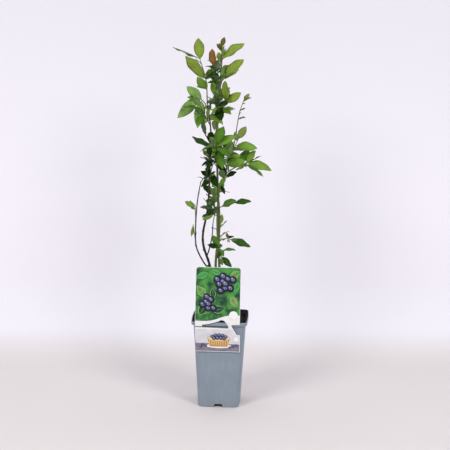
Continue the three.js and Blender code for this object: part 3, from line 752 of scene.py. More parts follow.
def makeCard(v):
    # the outline with its slot, as a filled curve with thickness
    curve = bpy.data.curves.new("card", "CURVE")
    curve.dimensions = "2D"
    curve.fill_mode = "BOTH"
    curve.extrude = v["thick"] / 2 - v["edgeRound"]
    curve.bevel_depth = v["edgeRound"]
    curve.bevel_resolution = 1
    for outline in (v["flap"] + roundTop(v) + [v["leftNeck"]], v["slot"]):
        spline = curve.splines.new("POLY")
        spline.points.add(len(outline) - 1)
        for point, (x, z) in zip(spline.points, outline):
            point.co = (x, z, 0, 1)
        spline.use_cyclic_u = True
    holder = bpy.data.objects.new("card", curve)
    flat = bpy.data.meshes.new_from_object(holder)
    shape = bmesh.new()
    shape.from_mesh(flat)
    bmesh.ops.remove_doubles(shape, verts=shape.verts[:], dist=0.0001)
    for vertex in shape.verts:
        vertex.co = (vertex.co.x, vertex.co.z, vertex.co.y)
    bmesh.ops.reverse_faces(shape, faces=shape.faces[:])
    bendShape(shape, v["strip"])
    card = labelMaterial("cardWhite", v["cardColour"])
    parts = newParts()
    addShape(parts, shape, card)
    bpy.data.objects.remove(holder)

    rings = []
    steps = v["tongueSteps"]
    for k in range(steps + 1):
        y, z = flatPointOn(v["tongue"], k / steps)
        beforeY, beforeZ = flatPointOn(v["tongue"], max(k - 0.5, 0) / steps)
        afterY, afterZ = flatPointOn(v["tongue"], min(k + 0.5, steps) / steps)
        along = Vector((0, afterY - beforeY, afterZ - beforeZ)).normalized()
        half = Vector((0, -along.z, along.y)) * v["thick"] / 2
        centre = Vector((0, y, z))
        left, right = Vector((v["tongueLeft"], 0, 0)), Vector((v["tongueRight"], 0, 0))
        rings.append([centre - half + left, centre - half + right,
                      centre + half + right, centre + half + left])
    loft(parts, rings, card)
    makePiece("labelCard", parts, ["label"], sharpAngle=40)


def labelMaterial(name, colour, other=None, patch=12.0):
    # smooth print on card; a second colour makes a soft cloudy ground
    look = {**labelValues["look"], "patch": patch}
    return grainyMaterial(name, look, shade(colour, 1.0), other or shade(colour, 0.93))


# the picture on the card: blueberries among leaves above, and a berry tart on the flap

printValues = {
    "ground": (0.006, 0.052, 0.026, 1), "groundLight": (0.072, 0.32, 0.052, 1),
    "olive": (0.30, 0.34, 0.12, 1), "leafLight": (0.075, 0.36, 0.075, 1),
    "leafDark": (0.008, 0.052, 0.026, 1), "leafEdge": (0.30, 0.52, 0.16, 1),
    "berry": (0.013, 0.014, 0.055, 1), "berryBloom": (0.085, 0.09, 0.26, 1),
    "berryDark": (0.002, 0.002, 0.008, 1), "berryShine": (0.50, 0.53, 0.76, 1),
    "white": (0.92, 0.92, 0.92, 1), "wall": (0.62, 0.61, 0.65, 1), "table": (0.17, 0.155, 0.20, 1),
    # painted shadow: the ink of the dark lines along the slot
    "slotShadow": (0.010, 0.010, 0.013, 1),
    "crust": (0.52, 0.25, 0.06, 1), "crustLight": (0.74, 0.48, 0.17, 1), "cream": (0.80, 0.70, 0.50, 1),
    "leafSpots": [(-38, 294, 30, 200), (-39, 262, 28, 130), (-33, 226, 32, 60), (36, 270, 27, 250),
                  (34, 298, 25, 30), (0, 224, 27, 15), (-10, 302, 25, 170), (32, 240, 25, 300),
                  (-14, 258, 20, 100)],
    "clusters": [(12, 278, 10, 7.0), (-23, 235, 7, 6.7)], "clusterSeed": 8,  # x, z, berries, berry radius
    "berryRoom": 0.93,  # how far apart the berries of a cluster stand
    "berryVary": (0.88, 1.04), "halo": 1.18,  # shares of the berry radius
    "disc": (31, 211.5, 9.4), "margin": 0.6,
    "band": [(-50.4, 198.6), (-38, 198.2), (-26, 198.4), (-15, 200), (-5, 203), (4, 206.4), (14, 209.8),
             (26, 211.8), (44.4, 212)],  # the lower edge of the picture, over a white band
    "tartBerries": [(-14, 164.5, 4.1), (-6.8, 167, 4.3), (1, 167.8, 4.3), (8.6, 166.8, 4.2), (15.2, 164, 3.9),
                    (-10, 160.4, 4.1), (-2.6, 161.2, 4.3), (5, 161, 4.2), (12, 159.8, 4)],
    "looseBerries": [(-34, 146.5, 3.3), (-28, 143.5, 3.0), (-38.5, 141.5, 2.8), (30, 143, 3.2),
                     (37, 145.5, 2.9), (24, 140.5, 2.6)],
    "flapDisc": (37.5, 159, 5.2),
    "flapInset": 1.2, "flapRight": 167.2, "tableTop": (149, 147),  # the table's at the left and the right
    "wallEdge": [(37.6, 167.6), (30.2, 180.5)],  # beside the neck of the flap
    "tart": [(-18.5, 141.5), (18.5, 141.5), (24, 159), (-24, 159)], "ribs": 9, "ribStep": 4.5,
    # ellipses, as x, z, half-width and half-height
    "plate": (0, 143, 27, 5.2), "tartTop": (0, 160.4, 25.2, 7.2), "filling": (0, 161, 22.2, 5.6),
}

# layers of a printed leaf: added length, share of the length, half-width, rise, and inks in turn
leafLayers = [
    (1.2, 1, 0.295, 0, ("leafDark", "leafEdge", "leafEdge")),
    (0, 1, 0.26, 0.08, ("leafLight", "olive", "leafDark")),
    (0, 0.94, 0.02, 0.16, ("leafDark", "leafDark", "leafLight")),
]

# layers of a printed berry: shift and half-widths as shares of its radius, steps, rise and ink
berryLayers = [
    (0, 0, 1, 1, 20, 0, "berryDark"),
    (-0.04, 0.05, 0.88, 0.87, 20, 0.07, "berry"),
    (-0.16, 0.22, 0.62, 0.52, 14, 0.13, "berryBloom"),
    (-0.3, 0.46, 0.24, 0.17, 10, 0.18, "berryShine"),
    (0.12, 0, 0.42, 0.34, 14, 0.2, "berryShine"),
    (0.12, 0, 0.32, 0.25, 14, 0.22, "berryBloom"),
]


def printed(parts, outline, proud, material):
    shape = bmesh.new()
    shape.faces.new([shape.verts.new((x, proud, z)) for x, z in outline])
    shape.normal_update()
    if shape.faces[:][0].normal.y > 0:
        bmesh.ops.reverse_faces(shape, faces=shape.faces[:])
    bendShape(shape, labelValues["strip"])
    addShape(parts, shape, material)


def leafOutline(x, z, length, turn, wide):
    along = [k / 9 for k in range(10)]
    sides = [(length * (t - 0.5), length * wide * math.sin(math.pi * t ** 0.8)) for t in along]
    points = sides + [(p, -q) for p, q in reversed(sides[1:-1])]
    cos, sin = math.cos(math.radians(turn)), math.sin(math.radians(turn))
    return [(x + p * cos - q * sin, z + p * sin + q * cos) for p, q in points]


def inside(outline, v, high):
    # keeps a printed outline within the card's margins and over the white band
    margin, band = printValues["margin"] + 0.6, printValues["band"]
    kept = []
    for x, z in outline:
        x = min(max(x, v["left"] + margin), v["right"] - margin)
        for (x0, z0), (x1, z1) in zip(band, band[1:]):
            if x <= x1:
                break
        low = z0 + (z1 - z0) * (x - x0) / (x1 - x0) + 0.3
        kept.append((x, min(max(z, low), high)))
    return kept


def printLevel(v, order):
    return v["thick"] / 2 + v["layer"] * order


def printInks(p):
    plain = ("leafLight", "leafDark", "leafEdge", "berry", "berryBloom", "berryDark", "berryShine",
             "white", "crust", "crustLight", "cream", "slotShadow")
    inks = {name: labelMaterial(name + "Ink", p[name]) for name in plain}
    cloudy = [("ground", p["groundLight"], 13.0), ("olive", p["groundLight"], 9.0),
              ("wall", shade(p["wall"], 1.2), 18.0), ("table", shade(p["table"], 1.5), 10.0)]
    for name, other, patch in cloudy:
        inks[name] = labelMaterial(name + "Ink", p[name], other, patch)
    return inks


def printBush(parts, v, p, inks):
    # leaves and two clusters of berries on a cloudy green ground
    high = v["top"] - p["margin"] - 1
    printed(parts, p["band"] + roundTop(v, p["margin"]), printLevel(v, 1), inks["ground"])
    for k, (x, z, length, turn) in enumerate(p["leafSpots"]):
        for longer, share, wide, rise, colours in leafLayers:
            outline = leafOutline(x, z, (length + longer) * share, turn, wide)
            printed(parts, inside(outline, v, high), printLevel(v, 2 + 0.3 * k + rise), inks[colours[k % 3]])
    rng = random.Random(p["clusterSeed"])
    level = 5.2
    for x, z, count, radius in p["clusters"]:
        spots = clusterSpots(x, z, count, radius * p["berryRoom"], rng)
        for spotX, spotZ in spots:
            halo = ellipsePoints(spotX, spotZ, radius * p["halo"], radius * p["halo"])
            printed(parts, inside(halo, v, high), printLevel(v, level - 0.1), inks["berryDark"])
        for spotX, spotZ in spots:
            printBerry(parts, v, inks, spotX, spotZ, radius * rng.uniform(*p["berryVary"]), level)
            level += 0.3
    printed(parts, arcPoints(*p["disc"], 0, 345, 23), printLevel(v, level + 0.5), inks["white"])


def printCreases(parts, v, p, inks):
    # painted shadow: dark lines printed along the slot's edges, for the shade under the card's cut edges
    slot = v["slot"]
    lowStart = (v["left"] + p["margin"], slot[0][1] + 0.4)
    for edge, rise in ((slot[1:8], 1.1), ([lowStart] + slot[:-4:-1], -1.7)):
        strip = edge + [(x, z + rise) for x, z in reversed(edge)]
        printed(parts, strip, printLevel(v, 1), inks["slotShadow"])


def printTart(parts, v, p, inks):
    # a berry tart on a table, on the flap
    left, right = v["left"] + p["margin"] + 0.8, v["right"] - p["margin"]
    low, high = v["flap"][0][1] + p["flapInset"], p["wallEdge"][-1][1]
    tableLeft, tableRight = p["tableTop"]
    wall = [(left, low), (right, low), (right, p["flapRight"]), *p["wallEdge"], (left, high)]
    table = [(left, low), (right, low), (right, tableRight), (left, tableLeft)]
    printed(parts, wall, printLevel(v, 1), inks["wall"])
    printed(parts, table, printLevel(v, 2), inks["table"])
    printed(parts, ellipsePoints(*p["plate"]), printLevel(v, 3), inks["white"])
    printed(parts, p["tart"], printLevel(v, 4), inks["crust"])
    for k in range(p["ribs"]):
        x = p["ribStep"] * (k - (p["ribs"] - 1) / 2)
        printed(parts, ellipsePoints(x * 1.08, 150.5, 1.4, 8.2), printLevel(v, 4.6), inks["crustLight"])
    printed(parts, ellipsePoints(*p["tartTop"]), printLevel(v, 5.2), inks["crustLight"])
    printed(parts, ellipsePoints(*p["filling"]), printLevel(v, 5.8), inks["cream"])
    for k, (x, z, radius) in enumerate(p["tartBerries"] + p["looseBerries"]):
        printBerry(parts, v, inks, x, z, radius, 6.4 + 0.3 * k)
    printed(parts, arcPoints(*p["flapDisc"], 0, 345, 23), printLevel(v, 3), inks["white"])


def printPicture(v, p):
    parts = newParts()
    inks = printInks(p)
    printBush(parts, v, p, inks)
    printCreases(parts, v, p, inks)
    printTart(parts, v, p, inks)
    makePiece("labelPrint", parts, [])


def ellipsePoints(x, z, halfWidth, halfHeight, steps=26):
    angles = [k / steps * 2 * math.pi for k in range(steps)]
    return [(x + halfWidth * math.cos(a), z + halfHeight * math.sin(a)) for a in angles]


def clusterSpots(x, z, count, room, rng):
    # an even spiral, drawn from the outside in
    spots = []
    for k in range(count - 1, -1, -1):
        reach, angle = room * math.sqrt(k), math.radians(137.5 * k + rng.uniform(-8, 8))
        spots.append((x + reach * math.cos(angle), z + reach * math.sin(angle)))
    return spots


def printBerry(parts, v, inks, x, z, radius, order):
    for shiftX, shiftZ, halfWidth, halfHeight, steps, rise, ink in berryLayers:
        outline = ellipsePoints(x + shiftX * radius, z + shiftZ * radius, radius * halfWidth,
                                radius * halfHeight, steps)
        printed(parts, outline, printLevel(v, order + rise), inks[ink])
    star = []
    for k in range(10):
        reach = radius * (0.3 if k % 2 == 0 else 0.15)
        angle = k / 10 * 2 * math.pi + 0.3
        star.append((x + 0.12 * radius + reach * math.cos(angle), z + 0.8 * reach * math.sin(angle)))
    printed(parts, star, printLevel(v, order + 0.26), inks["berryDark"])


# stems

ground = 182.3  # where the stems are cut flat, on the peat

limbRows = {
    "stem_main": {"foot": 3.1, "tip": 1.2, "flare": 3, "bark": "green", "course": [
        (0, 0, ground), (-12, 0, 300), (-5, 1, 395), (-10, 2, 485), (-14, 1, 610), (-10, 0, 675),
        (-4, 0, 742)]},
    "stem_left": {"foot": 3.1, "tip": 1.3, "flare": 2, "bark": "brown", "course": [
        (-14, 3, ground), (-22, 5, 290), (-41, 4, 362), (-30, 3, 440), (-27, 4, 540), (-26, 2, 600),
        (-34, 0, 662)]},
    "stem_right": {"foot": 2.4, "tip": 1.2, "flare": 1.6, "bark": "green", "course": [
        (9, -9, ground), (-2, -10, 300), (-9, -9, 390), (-6, -8, 470), (8, -7, 508), (26, -5, 522)]},
    "stem_back": {"foot": 2.5, "tip": 1.3, "flare": 1.8, "bark": "brown", "course": [
        (4, 12, ground), (-5, 17, 290), (-8, 20, 395), (-11, 23, 500), (-12, 25, 604)]},
    "branch_thin_left": {"foot": 1.8, "tip": 1.1, "on": "stem_left", "at": 0.2, "bark": "dark", "course": [
        (-34, -2, 308), (-53, -6, 345), (-56, -8, 385), (-53, -6, 445), (-46, -4, 490)]},
    "branch_low_left": {"foot": 1.6, "tip": 1, "on": "stem_left", "at": 0.25, "bark": "dark", "course": [
        (-27, -8, 340), (-20, -12, 372), (-18, -14, 402)]},
    "branch_right": {"foot": 1.5, "tip": 1, "on": "stem_right", "at": 0.8, "bark": "green", "course": [
        (11, -3, 532), (23, 2, 566), (31, 4, 618)]},
}

# bark turns from old to young between two heights, in metres
barkValues = {
    "brown": {"old": (0.034, 0.021, 0.010, 1), "young": (0.080, 0.085, 0.026, 1), "from": 0.42, "to": 0.62},
    "green": {"old": (0.130, 0.150, 0.045, 1), "young": (0.150, 0.215, 0.050, 1), "from": 0.16, "to": 0.30},
    "dark": {"old": (0.018, 0.013, 0.008, 1), "young": (0.026, 0.024, 0.010, 1), "from": 0.36, "to": 0.56},
    "twig": {"old": (0.125, 0.185, 0.045, 1), "young": (0.135, 0.20, 0.048, 1), "from": 0.2, "to": 0.8},
    "redTwig": {"old": (0.155, 0.085, 0.040, 1), "young": (0.15, 0.115, 0.042, 1), "from": 0.3, "to": 0.8},
}
barkMarks = {"streak": (0.35, 0.32, 0.30, 1), "pore": (0.16, 0.13, 0.08, 1)}

limbShape = {
    "sides": 14, "step": 3.2, "roundEnd": 0.8,
    "ridge": 0.09, "ridgeSize": 2.4, "ridgeStretch": 0.12,
    "flareEnd": 0.06,  # the share of a stem at which its root flare ends
    "collarRidge": 0.11, "collarLobes": 3,
    "node": 24, "nodeVary": (0.7, 1.25), "nodeTurn": 144, "turnVary": 14,
    "firstNode": 0.05, "lastNode": 0.97, "nodeSwell": 0.16, "nodeLength": 2.6,
    "budFrom": 70,  # stems from the peat have no buds below this length
    "budLength": 3.0, "budWidth": 1.0, "budVary": (0.6, 1.0), "budSpread": 0.75,
}

# places along a bud and its width there, as shares
budScales = [(0, 0.55), (0.18, 0.95), (0.3, 0.9), (0.34, 1.0), (0.6, 0.75), (0.63, 0.82), (0.85, 0.4)]
budSides = 7


def barkMaterial(name, v):
    material, tree, shader = newMaterial(name, 0.62, 0.4)
    bark = grouped(tree, "bark", Ridge_Size=1.5, Stretch=0.14)
    grain = grouped(tree, "grain", Grain_Size=0.5, Patch_Size=9.0)
    wander = times(tree, grain.outputs["Patches"], 0.05)
    height = plus(tree, heightOf(tree, objectPlace(tree)), wander)
    rise = ramp(tree, height, v["from"], v["to"], soft=True)
    skin = blend(tree, rise, v["old"], v["young"])
    streaked = blend(tree, times(tree, bark.outputs["Height"], 0.9), skin, barkMarks["streak"], "MULTIPLY")
    pored = blend(tree, times(tree, bark.outputs["Pores"], 0.16), streaked, barkMarks["pore"])
    tree.links.new(pored, shader.inputs["Base Color"])
    roughen(tree, shader, bark.outputs["Height"], 0.5, 0.78)
    relief(tree, shader, plus(tree, bark.outputs["Height"], times(tree, grain.outputs["Height"], 0.25)),
           0.5, 0.0006)
    return material


barks = {name: barkMaterial(name + "Bark", v) for name, v in barkValues.items()}


def addTube(parts, course, radiusAt, sides, rings, material, flatFoot=False, swelling=None):
    # a tapering tube along a course, closed at both ends; swelling(share, angle, point) scales its radius
    side = None
    points = []
    for r in range(rings + 1):
        share = r / rings
        heading = upwards if flatFoot and r == 0 else headingOn(course, share)
        if side is None:
            side = Vector((0, 1, 0)) if abs(heading.y) < 0.9 else Vector((1, 0, 0))
        side = (side - heading * side.dot(heading)).normalized()
        across = heading.cross(side)
        centre = pointOn(course, share)
        for k in range(sides):
            angle = k / sides * 2 * math.pi
            out = side * math.cos(angle) + across * math.sin(angle)
            radius = radiusAt(share)
            if swelling:
                radius *= swelling(share, angle, centre + out * radius)
            points.append(centre + out * radius)
    points.append(pointOn(course, 1) + headingOn(course, 1) * radiusAt(1) * limbShape["roundEnd"])
    addPart(parts, points, loftFaces([sides] * (rings + 1) + [1]), material)


def addBud(parts, place, heading, length, width, material):
    # a small pointed bud of overlapping scales
    side = heading.orthogonal().normalized()
    across = heading.cross(side)
    angles = [k / budSides * 2 * math.pi for k in range(budSides)]
    outs = [side * math.cos(angle) + across * math.sin(angle) for angle in angles]
    rings = [[place + heading * length * share + out * width * wide for out in outs]
             for share, wide in budScales]
    loft(parts, rings + [[place + heading * length]], material)


limbs = {}
for name, row in limbRows.items():
    course = [Vector(p) for p in row["course"]]
    if "on" in row:
        course.insert(0, pointOn(limbs[row["on"]]["course"], row["at"]))
    limbs[name] = {**row, "course": course}


def limbRadius(row, share):
    end = limbShape["flareEnd"]
    flare = row.get("flare", 0) * (1 - share / end) ** 2 if share < end else 0
    return row["foot"] + (row["tip"] - row["foot"]) * share + flare


def nodesOf(v, length, rng):
    # where buds stand along a stem, and at what turn
    nodes = []
    share = v["firstNode"] + 0.02 * rng.random()
    turn = rng.uniform(0, 2 * math.pi)
    while share < v["lastNode"]:
        nodes.append((share, turn))
        share += v["node"] * rng.uniform(*v["nodeVary"]) / length
        turn += math.radians(v["nodeTurn"] + rng.uniform(-v["turnVary"], v["turnVary"]))
    return nodes


def makeLimb(name, row, v):
    rng = random.Random(name)
    course = row["course"]
    length = courseLength(course)
    nodes = nodesOf(v, length, rng)
    shift = Vector((rng.uniform(-40, 40), 0, 0))
    rises = "flare" in row  # it rises from the peat

    def swelling(share, angle, point):
        # ridged bark, lobes round the root flare, and nodes that swell most on the bud's side
        long = Vector((point.x, point.y, point.z * v["ridgeStretch"])) / v["ridgeSize"]
        scale = 1 + v["ridge"] * noise.noise(long + shift)
        if rises and share < 2 * v["flareEnd"]:
            lobes = math.sin(v["collarLobes"] * angle + shift.x)
            scale += v["collarRidge"] * (1 - share / (2 * v["flareEnd"])) * lobes
        for place, way in nodes:
            far = (share - place) * length / v["nodeLength"]
            if abs(far) < 3:
                scale += v["nodeSwell"] * math.exp(-far * far) * (0.55 + 0.45 * math.cos(angle - way))
        return scale

    parts = newParts()
    addTube(parts, course, lambda t: limbRadius(row, t), v["sides"], round(length / v["step"]),
            barks[row["bark"]], flatFoot=rises, swelling=swelling)
    for share, turn in nodes:
        if rises and share * length < v["budFrom"]:
            continue
        heading = headingOn(course, share)
        side = (Vector((0, 1, 0)) - heading * heading.y).normalized()
        out = side * math.cos(turn) + heading.cross(side) * math.sin(turn)
        place = pointOn(course, share) + out * limbRadius(row, share) * 0.9
        size = rng.uniform(*v["budVary"])
        addBud(parts, place, (heading + out * v["budSpread"]).normalized(), v["budLength"] * size,
               v["budWidth"] * size, barks["redTwig"])
    makePiece("bark_" + name, parts, [name])


# leaf masses, grown by the same seeded rule as their solids

usual = {"leaves": 5, "spurs": 0, "size": 52, "turn": 0, "open": 60, "lean": 0.3, "droop": 0.15,
         "bare": 0.25, "bow": [0, 0, 0], "lead": []}

leafMasses = {
    "leaves_top_left": {"on": "stem_left", "at": 1, "tip": [-50, -2, 750], "bow": [5, 0, 0],
        "out": [-1, 0, 0.1], "leaves": 4, "size": 36, "turn": 270, "open": 75, "lean": 0.5, "droop": 0,
        "seed": 71,
        "lead": [[0.98, [-54, -8, 795], 5], [1, [-108, -12, 775], 80], [0.51, [-80, -16, 758], 40],
                 [0.27, [-54, -26, 714], 5]]},
    "leaves_upper_left": {"on": "stem_left", "at": 0.96, "tip": [-54, -8, 668], "bow": [0, -3, 6],
        "out": [-1, -0.2, 0], "leaves": 4, "size": 48, "turn": 120, "seed": 33,
        "lead": [[0.56, [-77, -14, 694], 5], [0.91, [-96, -16, 626], 10], [0.6, [-53, -20, 605], 10]]},
    "leaves_upper_left_front": {"on": "stem_left", "at": 0.86, "tip": [-46, -28, 652],
        "out": [-0.5, -1, 0], "leaves": 3, "spurs": 2, "size": 44, "turn": 90, "open": 90, "lean": 0.5,
        "droop": 0, "seed": 58},
    "leaves_top": {"on": "stem_main", "at": 1, "tip": [-5, 0, 776], "out": [0.2, 0, 1], "leaves": 4,
        "size": 24, "turn": 300, "lean": 0.8, "droop": 0, "seed": 79,
        "lead": [[1, [1, -2, 797], 0], [0.82, [-15, -5, 783], 10], [0.21, [44, -8, 784], 50]]},
    "leaves_top_right": {"on": "stem_main", "at": 0.9, "tip": [4, -6, 712], "out": [1, 0, 0.15],
        "leaves": 1, "size": 32, "turn": 90, "open": 90, "lean": 0.5, "seed": 1,
        "lead": [[0.55, [43, -14, 752], 40]]},
    "leaves_upper_right": {"on": "stem_main", "at": 0.72, "tip": [10, -10, 660], "out": [1, -0.1, 0.1],
        "leaves": 5, "size": 36, "turn": 180, "open": 75, "lean": 0.5, "seed": 16,
        "lead": [[0.91, [4, -15, 707], 40], [0.95, [38, -16, 683], 5]]},
    "leaves_top_centre": {"on": "stem_main", "at": 0.84, "tip": [-20, -16, 734], "out": [-0.3, -1, 0],
        "leaves": 5, "size": 44, "turn": 60, "open": 45, "lean": 0.1, "seed": 98,
        "lead": [[1, [-24, -17, 773], 30]]},
    "leaves_upper_centre": {"on": "stem_main", "at": 0.7, "tip": [-12, -22, 660], "out": [0.2, -1, 0],
        "leaves": 6, "size": 48, "turn": 330, "open": 75, "lean": 0.5, "droop": 0, "seed": 40,
        "lead": [[0.8, [-11, -30, 689], 40]]},
    "bud_shoot_right": {"on": "branch_right", "at": 1, "tip": [43, 0, 664], "bow": [-2, 0, 0],
        "out": [1, 0, 0.3], "leaves": 3, "size": 12, "turn": 30, "open": 45, "lean": 1.1, "seed": 39,
        "lead": [[0.98, [56, -2, 680], 40], [0.97, [61, -4, 672], 70], [0.56, [48, -2, 649], 60],
                 [0.15, [49, 2, 630], 65]]},
    "leaves_young_right": {"on": "branch_right", "at": 0.42, "tip": [36, -10, 590], "out": [1, 0, 0.4],
        "leaves": 2, "size": 24, "turn": 270, "droop": 0, "seed": 71,
        "lead": [[0.86, [50, -14, 612], 5], [0.59, [75, -16, 565], 30]]},
    "leaves_middle": {"on": "stem_main", "at": 0.58, "tip": [-14, -28, 572], "out": [0.3, -1, 0],
        "leaves": 5, "size": 48, "turn": 120, "open": 75, "lean": 0.1, "seed": 82,
        "lead": [[0.99, [4, -36, 613], 5], [0.83, [31, -32, 592], 45]]},
    "leaves_middle_left": {"on": "stem_left", "at": 0.66, "tip": [-36, -8, 590], "bow": [8, -2, 0],
        "out": [-1, -0.2, 0], "leaves": 4, "size": 36, "turn": 150, "open": 90, "lean": 0.5,
        "seed": 94,
        "lead": [[0.57, [-65, -16, 589], 45], [0.99, [-43, -6, 628], 55], [0.15, [-41, -18, 560], 5]]},
    "leaves_middle_right": {"on": "stem_right", "at": 1, "tip": [56, -4, 534], "bow": [0, 0, 2],
        "out": [1, -0.1, 0], "leaves": 3, "size": 44, "turn": 120, "droop": 0, "seed": 53,
        "lead": [[0.87, [106, -12, 518], 45], [1, [85, 2, 549], 85], [0.81, [71, -10, 561], 30],
                 [0.95, [29, -22, 519], 45], [0.92, [77, -4, 530], 30]]},
    "leaves_middle_right_upper": {"on": "branch_right", "at": 0.1, "tip": [12, -16, 540],
        "out": [1, -0.2, 0.1], "leaves": 4, "size": 44, "turn": 210, "lean": 0.1, "droop": 0,
        "seed": 89, "lead": [[0.46, [50, -26, 541], 5], [0.99, [40, -20, 551], 5]]},
    "leaves_middle_low": {"on": "stem_main", "at": 0.55, "tip": [-26, -28, 550], "out": [0, -1, 0],
        "leaves": 7, "spurs": 2, "size": 36, "turn": 60, "open": 90, "lean": 0.5, "seed": 21},
    "leaves_low_centre": {"on": "stem_left", "at": 0.56, "tip": [-24, -10, 506], "out": [-0.6, -1, 0],
        "leaves": 4, "size": 36, "turn": 180, "open": 90, "lean": 0.5, "droop": 0.3, "seed": 34,
        "lead": [[0.88, [-45, -20, 516], 5]]},
    "leaves_low_centre_right": {"on": "stem_right", "at": 0.64, "tip": [9, -18, 504],
        "out": [0.6, -1, 0], "leaves": 2, "size": 36, "turn": 270, "open": 45, "lean": 0.1, "droop": 0,
        "seed": 2,
        "lead": [[1, [-5, -28, 484], 5], [1, [-6, -27, 541], 35], [1, [32, -26, 516], 35],
                 [0.15, [7, -18, 466], 5]]},
    "leaves_low_left": {"on": "branch_low_left", "at": 1, "tip": [-16, -22, 458], "bow": [3, 0, 0],
        "out": [-0.6, -1, 0], "leaves": 5, "size": 36, "turn": 120, "droop": 0, "seed": 20,
        "lead": [[0.31, [-31, -22, 457], 45], [0.45, [-40, -30, 411], 5]]},
    "leaves_low_right": {"on": "stem_right", "at": 0.5, "tip": [28, -16, 448], "bow": [0, 0, 3],
        "out": [1, 0, 0], "leaves": 0, "size": 32, "seed": 39,
        "lead": [[0.97, [64, -16, 452], 45], [0.21, [32, -24, 455], 45]]},
    "leaves_low_front": {"on": "stem_right", "at": 0.46, "tip": [-24, -40, 436], "out": [0, -1, 0],
        "leaves": 5, "spurs": 2, "size": 36, "open": 45, "seed": 47},
    "leaves_thin_left": {"on": "branch_thin_left", "at": 0.66, "tip": [-57, -10, 438],
        "out": [-1, 0, 0], "leaves": 2, "size": 18, "turn": 60, "open": 75, "seed": 14,
        "lead": [[0.92, [-79, -14, 449], 5], [1, [-70, -8, 451], 80]]},
    "leaves_thin_left_low": {"on": "branch_thin_left", "at": 0.46, "tip": [-61, -11, 398],
        "out": [-1, 0, 0], "leaves": 2, "size": 14, "open": 45, "lean": 0.5, "droop": 0, "seed": 86,
        "lead": [[0.96, [-65, -13, 371], 45]]},
    "leaves_thin_left_top": {"on": "branch_thin_left", "at": 1, "tip": [-32, 8, 510],
        "out": [-1, 0, 0.3], "leaves": 4, "size": 18, "turn": 120, "open": 75, "lean": 0.5,
        "droop": 0.3, "seed": 97},
    "leaves_foot_right": {"on": "stem_right", "at": 0.33, "tip": [20, -17, 368], "bow": [0, 0, 5],
        "out": [1, -0.1, 0], "leaves": 2, "size": 24, "open": 90, "lean": 0.1, "seed": 56,
        "lead": [[0.98, [64, -18, 353], 45], [0.84, [12, -17, 383], 20]]},
    "leaves_foot": {"on": "stem_right", "at": 0.27, "tip": [-4, -26, 352], "out": [0.1, -1, 0],
        "leaves": 4, "size": 30, "turn": 150, "open": 75, "lean": 0.8, "droop": 0.3, "seed": 92,
        "lead": [[1, [-16, -34, 380], 5], [1, [-28, -36, 360], 5]]},
    "leaves_foot_low": {"on": "stem_right", "at": 0.22, "tip": [3, -24, 345], "out": [0.3, -1, 0],
        "leaves": 2, "size": 28, "turn": 270, "seed": 22,
        "lead": [[0.56, [25, -34, 311], 5], [1, [33, -28, 347], 70], [1, [-8, -34, 329], 5]]},
    "leaves_back_top": {"on": "stem_main", "at": 0.93, "tip": [-8, 26, 742], "out": [-0.2, 1, 0],
        "leaves": 6, "spurs": 1, "size": 44, "turn": 240, "open": 75, "lean": 0.1, "droop": 0.3,
        "seed": 74},
    "leaves_back_upper": {"on": "stem_back", "at": 1, "tip": [-22, 50, 670], "out": [0, 1, 0],
        "leaves": 7, "spurs": 2, "size": 56, "turn": 240, "open": 75, "lean": 0.1, "seed": 7},
    "leaves_back_middle": {"on": "stem_back", "at": 0.8, "tip": [2, 56, 548], "out": [0, 1, 0],
        "leaves": 7, "spurs": 2, "open": 75, "lean": 0.5, "droop": 0, "seed": 9},
    "leaves_back_low": {"on": "stem_back", "at": 0.58, "tip": [-20, 62, 476], "out": [0, 1, 0],
        "leaves": 7, "spurs": 2, "size": 44, "turn": 150, "lean": 0.5, "droop": 0, "seed": 54},
    "leaves_back_foot": {"on": "stem_back", "at": 0.36, "tip": [-6, 54, 388], "out": [-0.1, 1, 0],
        "leaves": 4, "size": 38, "turn": 240, "lean": 0.6, "droop": 0, "seed": 6},
}

# the tint of each mass's sprays in turn, and of its leading leaves; dark and deep are partly painted shade
leafTints = {
    "leaves_top_left": (["mid", "fresh"], ["fresh", "green", "fresh", "mid"]),
    "leaves_upper_left": (["mid", "green"], ["grey", "grey", "grey"]),
    "leaves_upper_left_front": (["green", "mid"], []),
    "leaves_top": (["fresh", "mid"], ["olive", "olive", "fresh"]),
    "leaves_top_right": (["mid", "fresh"], ["fresh"]),
    "leaves_upper_right": (["mid", "deep"], ["fresh", "fresh"]),
    "leaves_top_centre": (["dark"], ["bronze"]),
    "leaves_upper_centre": (["deep", "green"], ["mid"]),
    "bud_shoot_right": (["young"], ["young", "young", "olive", "olive"]),
    "leaves_young_right": (["young", "fresh"], ["young", "mid"]),
    "leaves_middle": (["green", "mid"], ["green", "mid"]),
    "leaves_middle_left": (["deep"], ["dark", "green", "fresh"]),
    "leaves_middle_right": (["mid", "green"], ["mid", "deep", "mid", "mid", "mid"]),
    "leaves_middle_right_upper": (["green", "mid"], ["mid", "mid"]),
    "leaves_middle_low": (["deep"], []),
    "leaves_low_centre": (["deep"], ["deep"]),
    "leaves_low_centre_right": (["deep"], ["green", "deep", "deep", "deep"]),
    "leaves_low_left": (["dark", "deep"], ["dark", "mid"]),
    "leaves_low_right": (["green", "deep"], ["dark", "green"]),
    "leaves_low_front": (["deep", "green"], []),
    "leaves_thin_left": (["fresh", "mid"], ["mid", "deep"]),
    "leaves_thin_left_low": (["fresh"], ["fresh"]),
    "leaves_thin_left_top": (["deep"], []),
    "leaves_foot_right": (["green", "deep"], ["dark", "olive"]),
    "leaves_foot": (["green", "deep"], ["green", "deep"]),
    "leaves_foot_low": (["green"], ["dark", "green", "dark"]),
    "leaves_back_top": (["fresh", "mid"], []),
    "leaves_back_upper": (["mid", "fresh", "deep"], []),
    "leaves_back_middle": (["mid", "deep"], []),
    "leaves_back_low": (["mid", "deep"], []),
    "leaves_back_foot": (["fresh", "mid"], []),
}

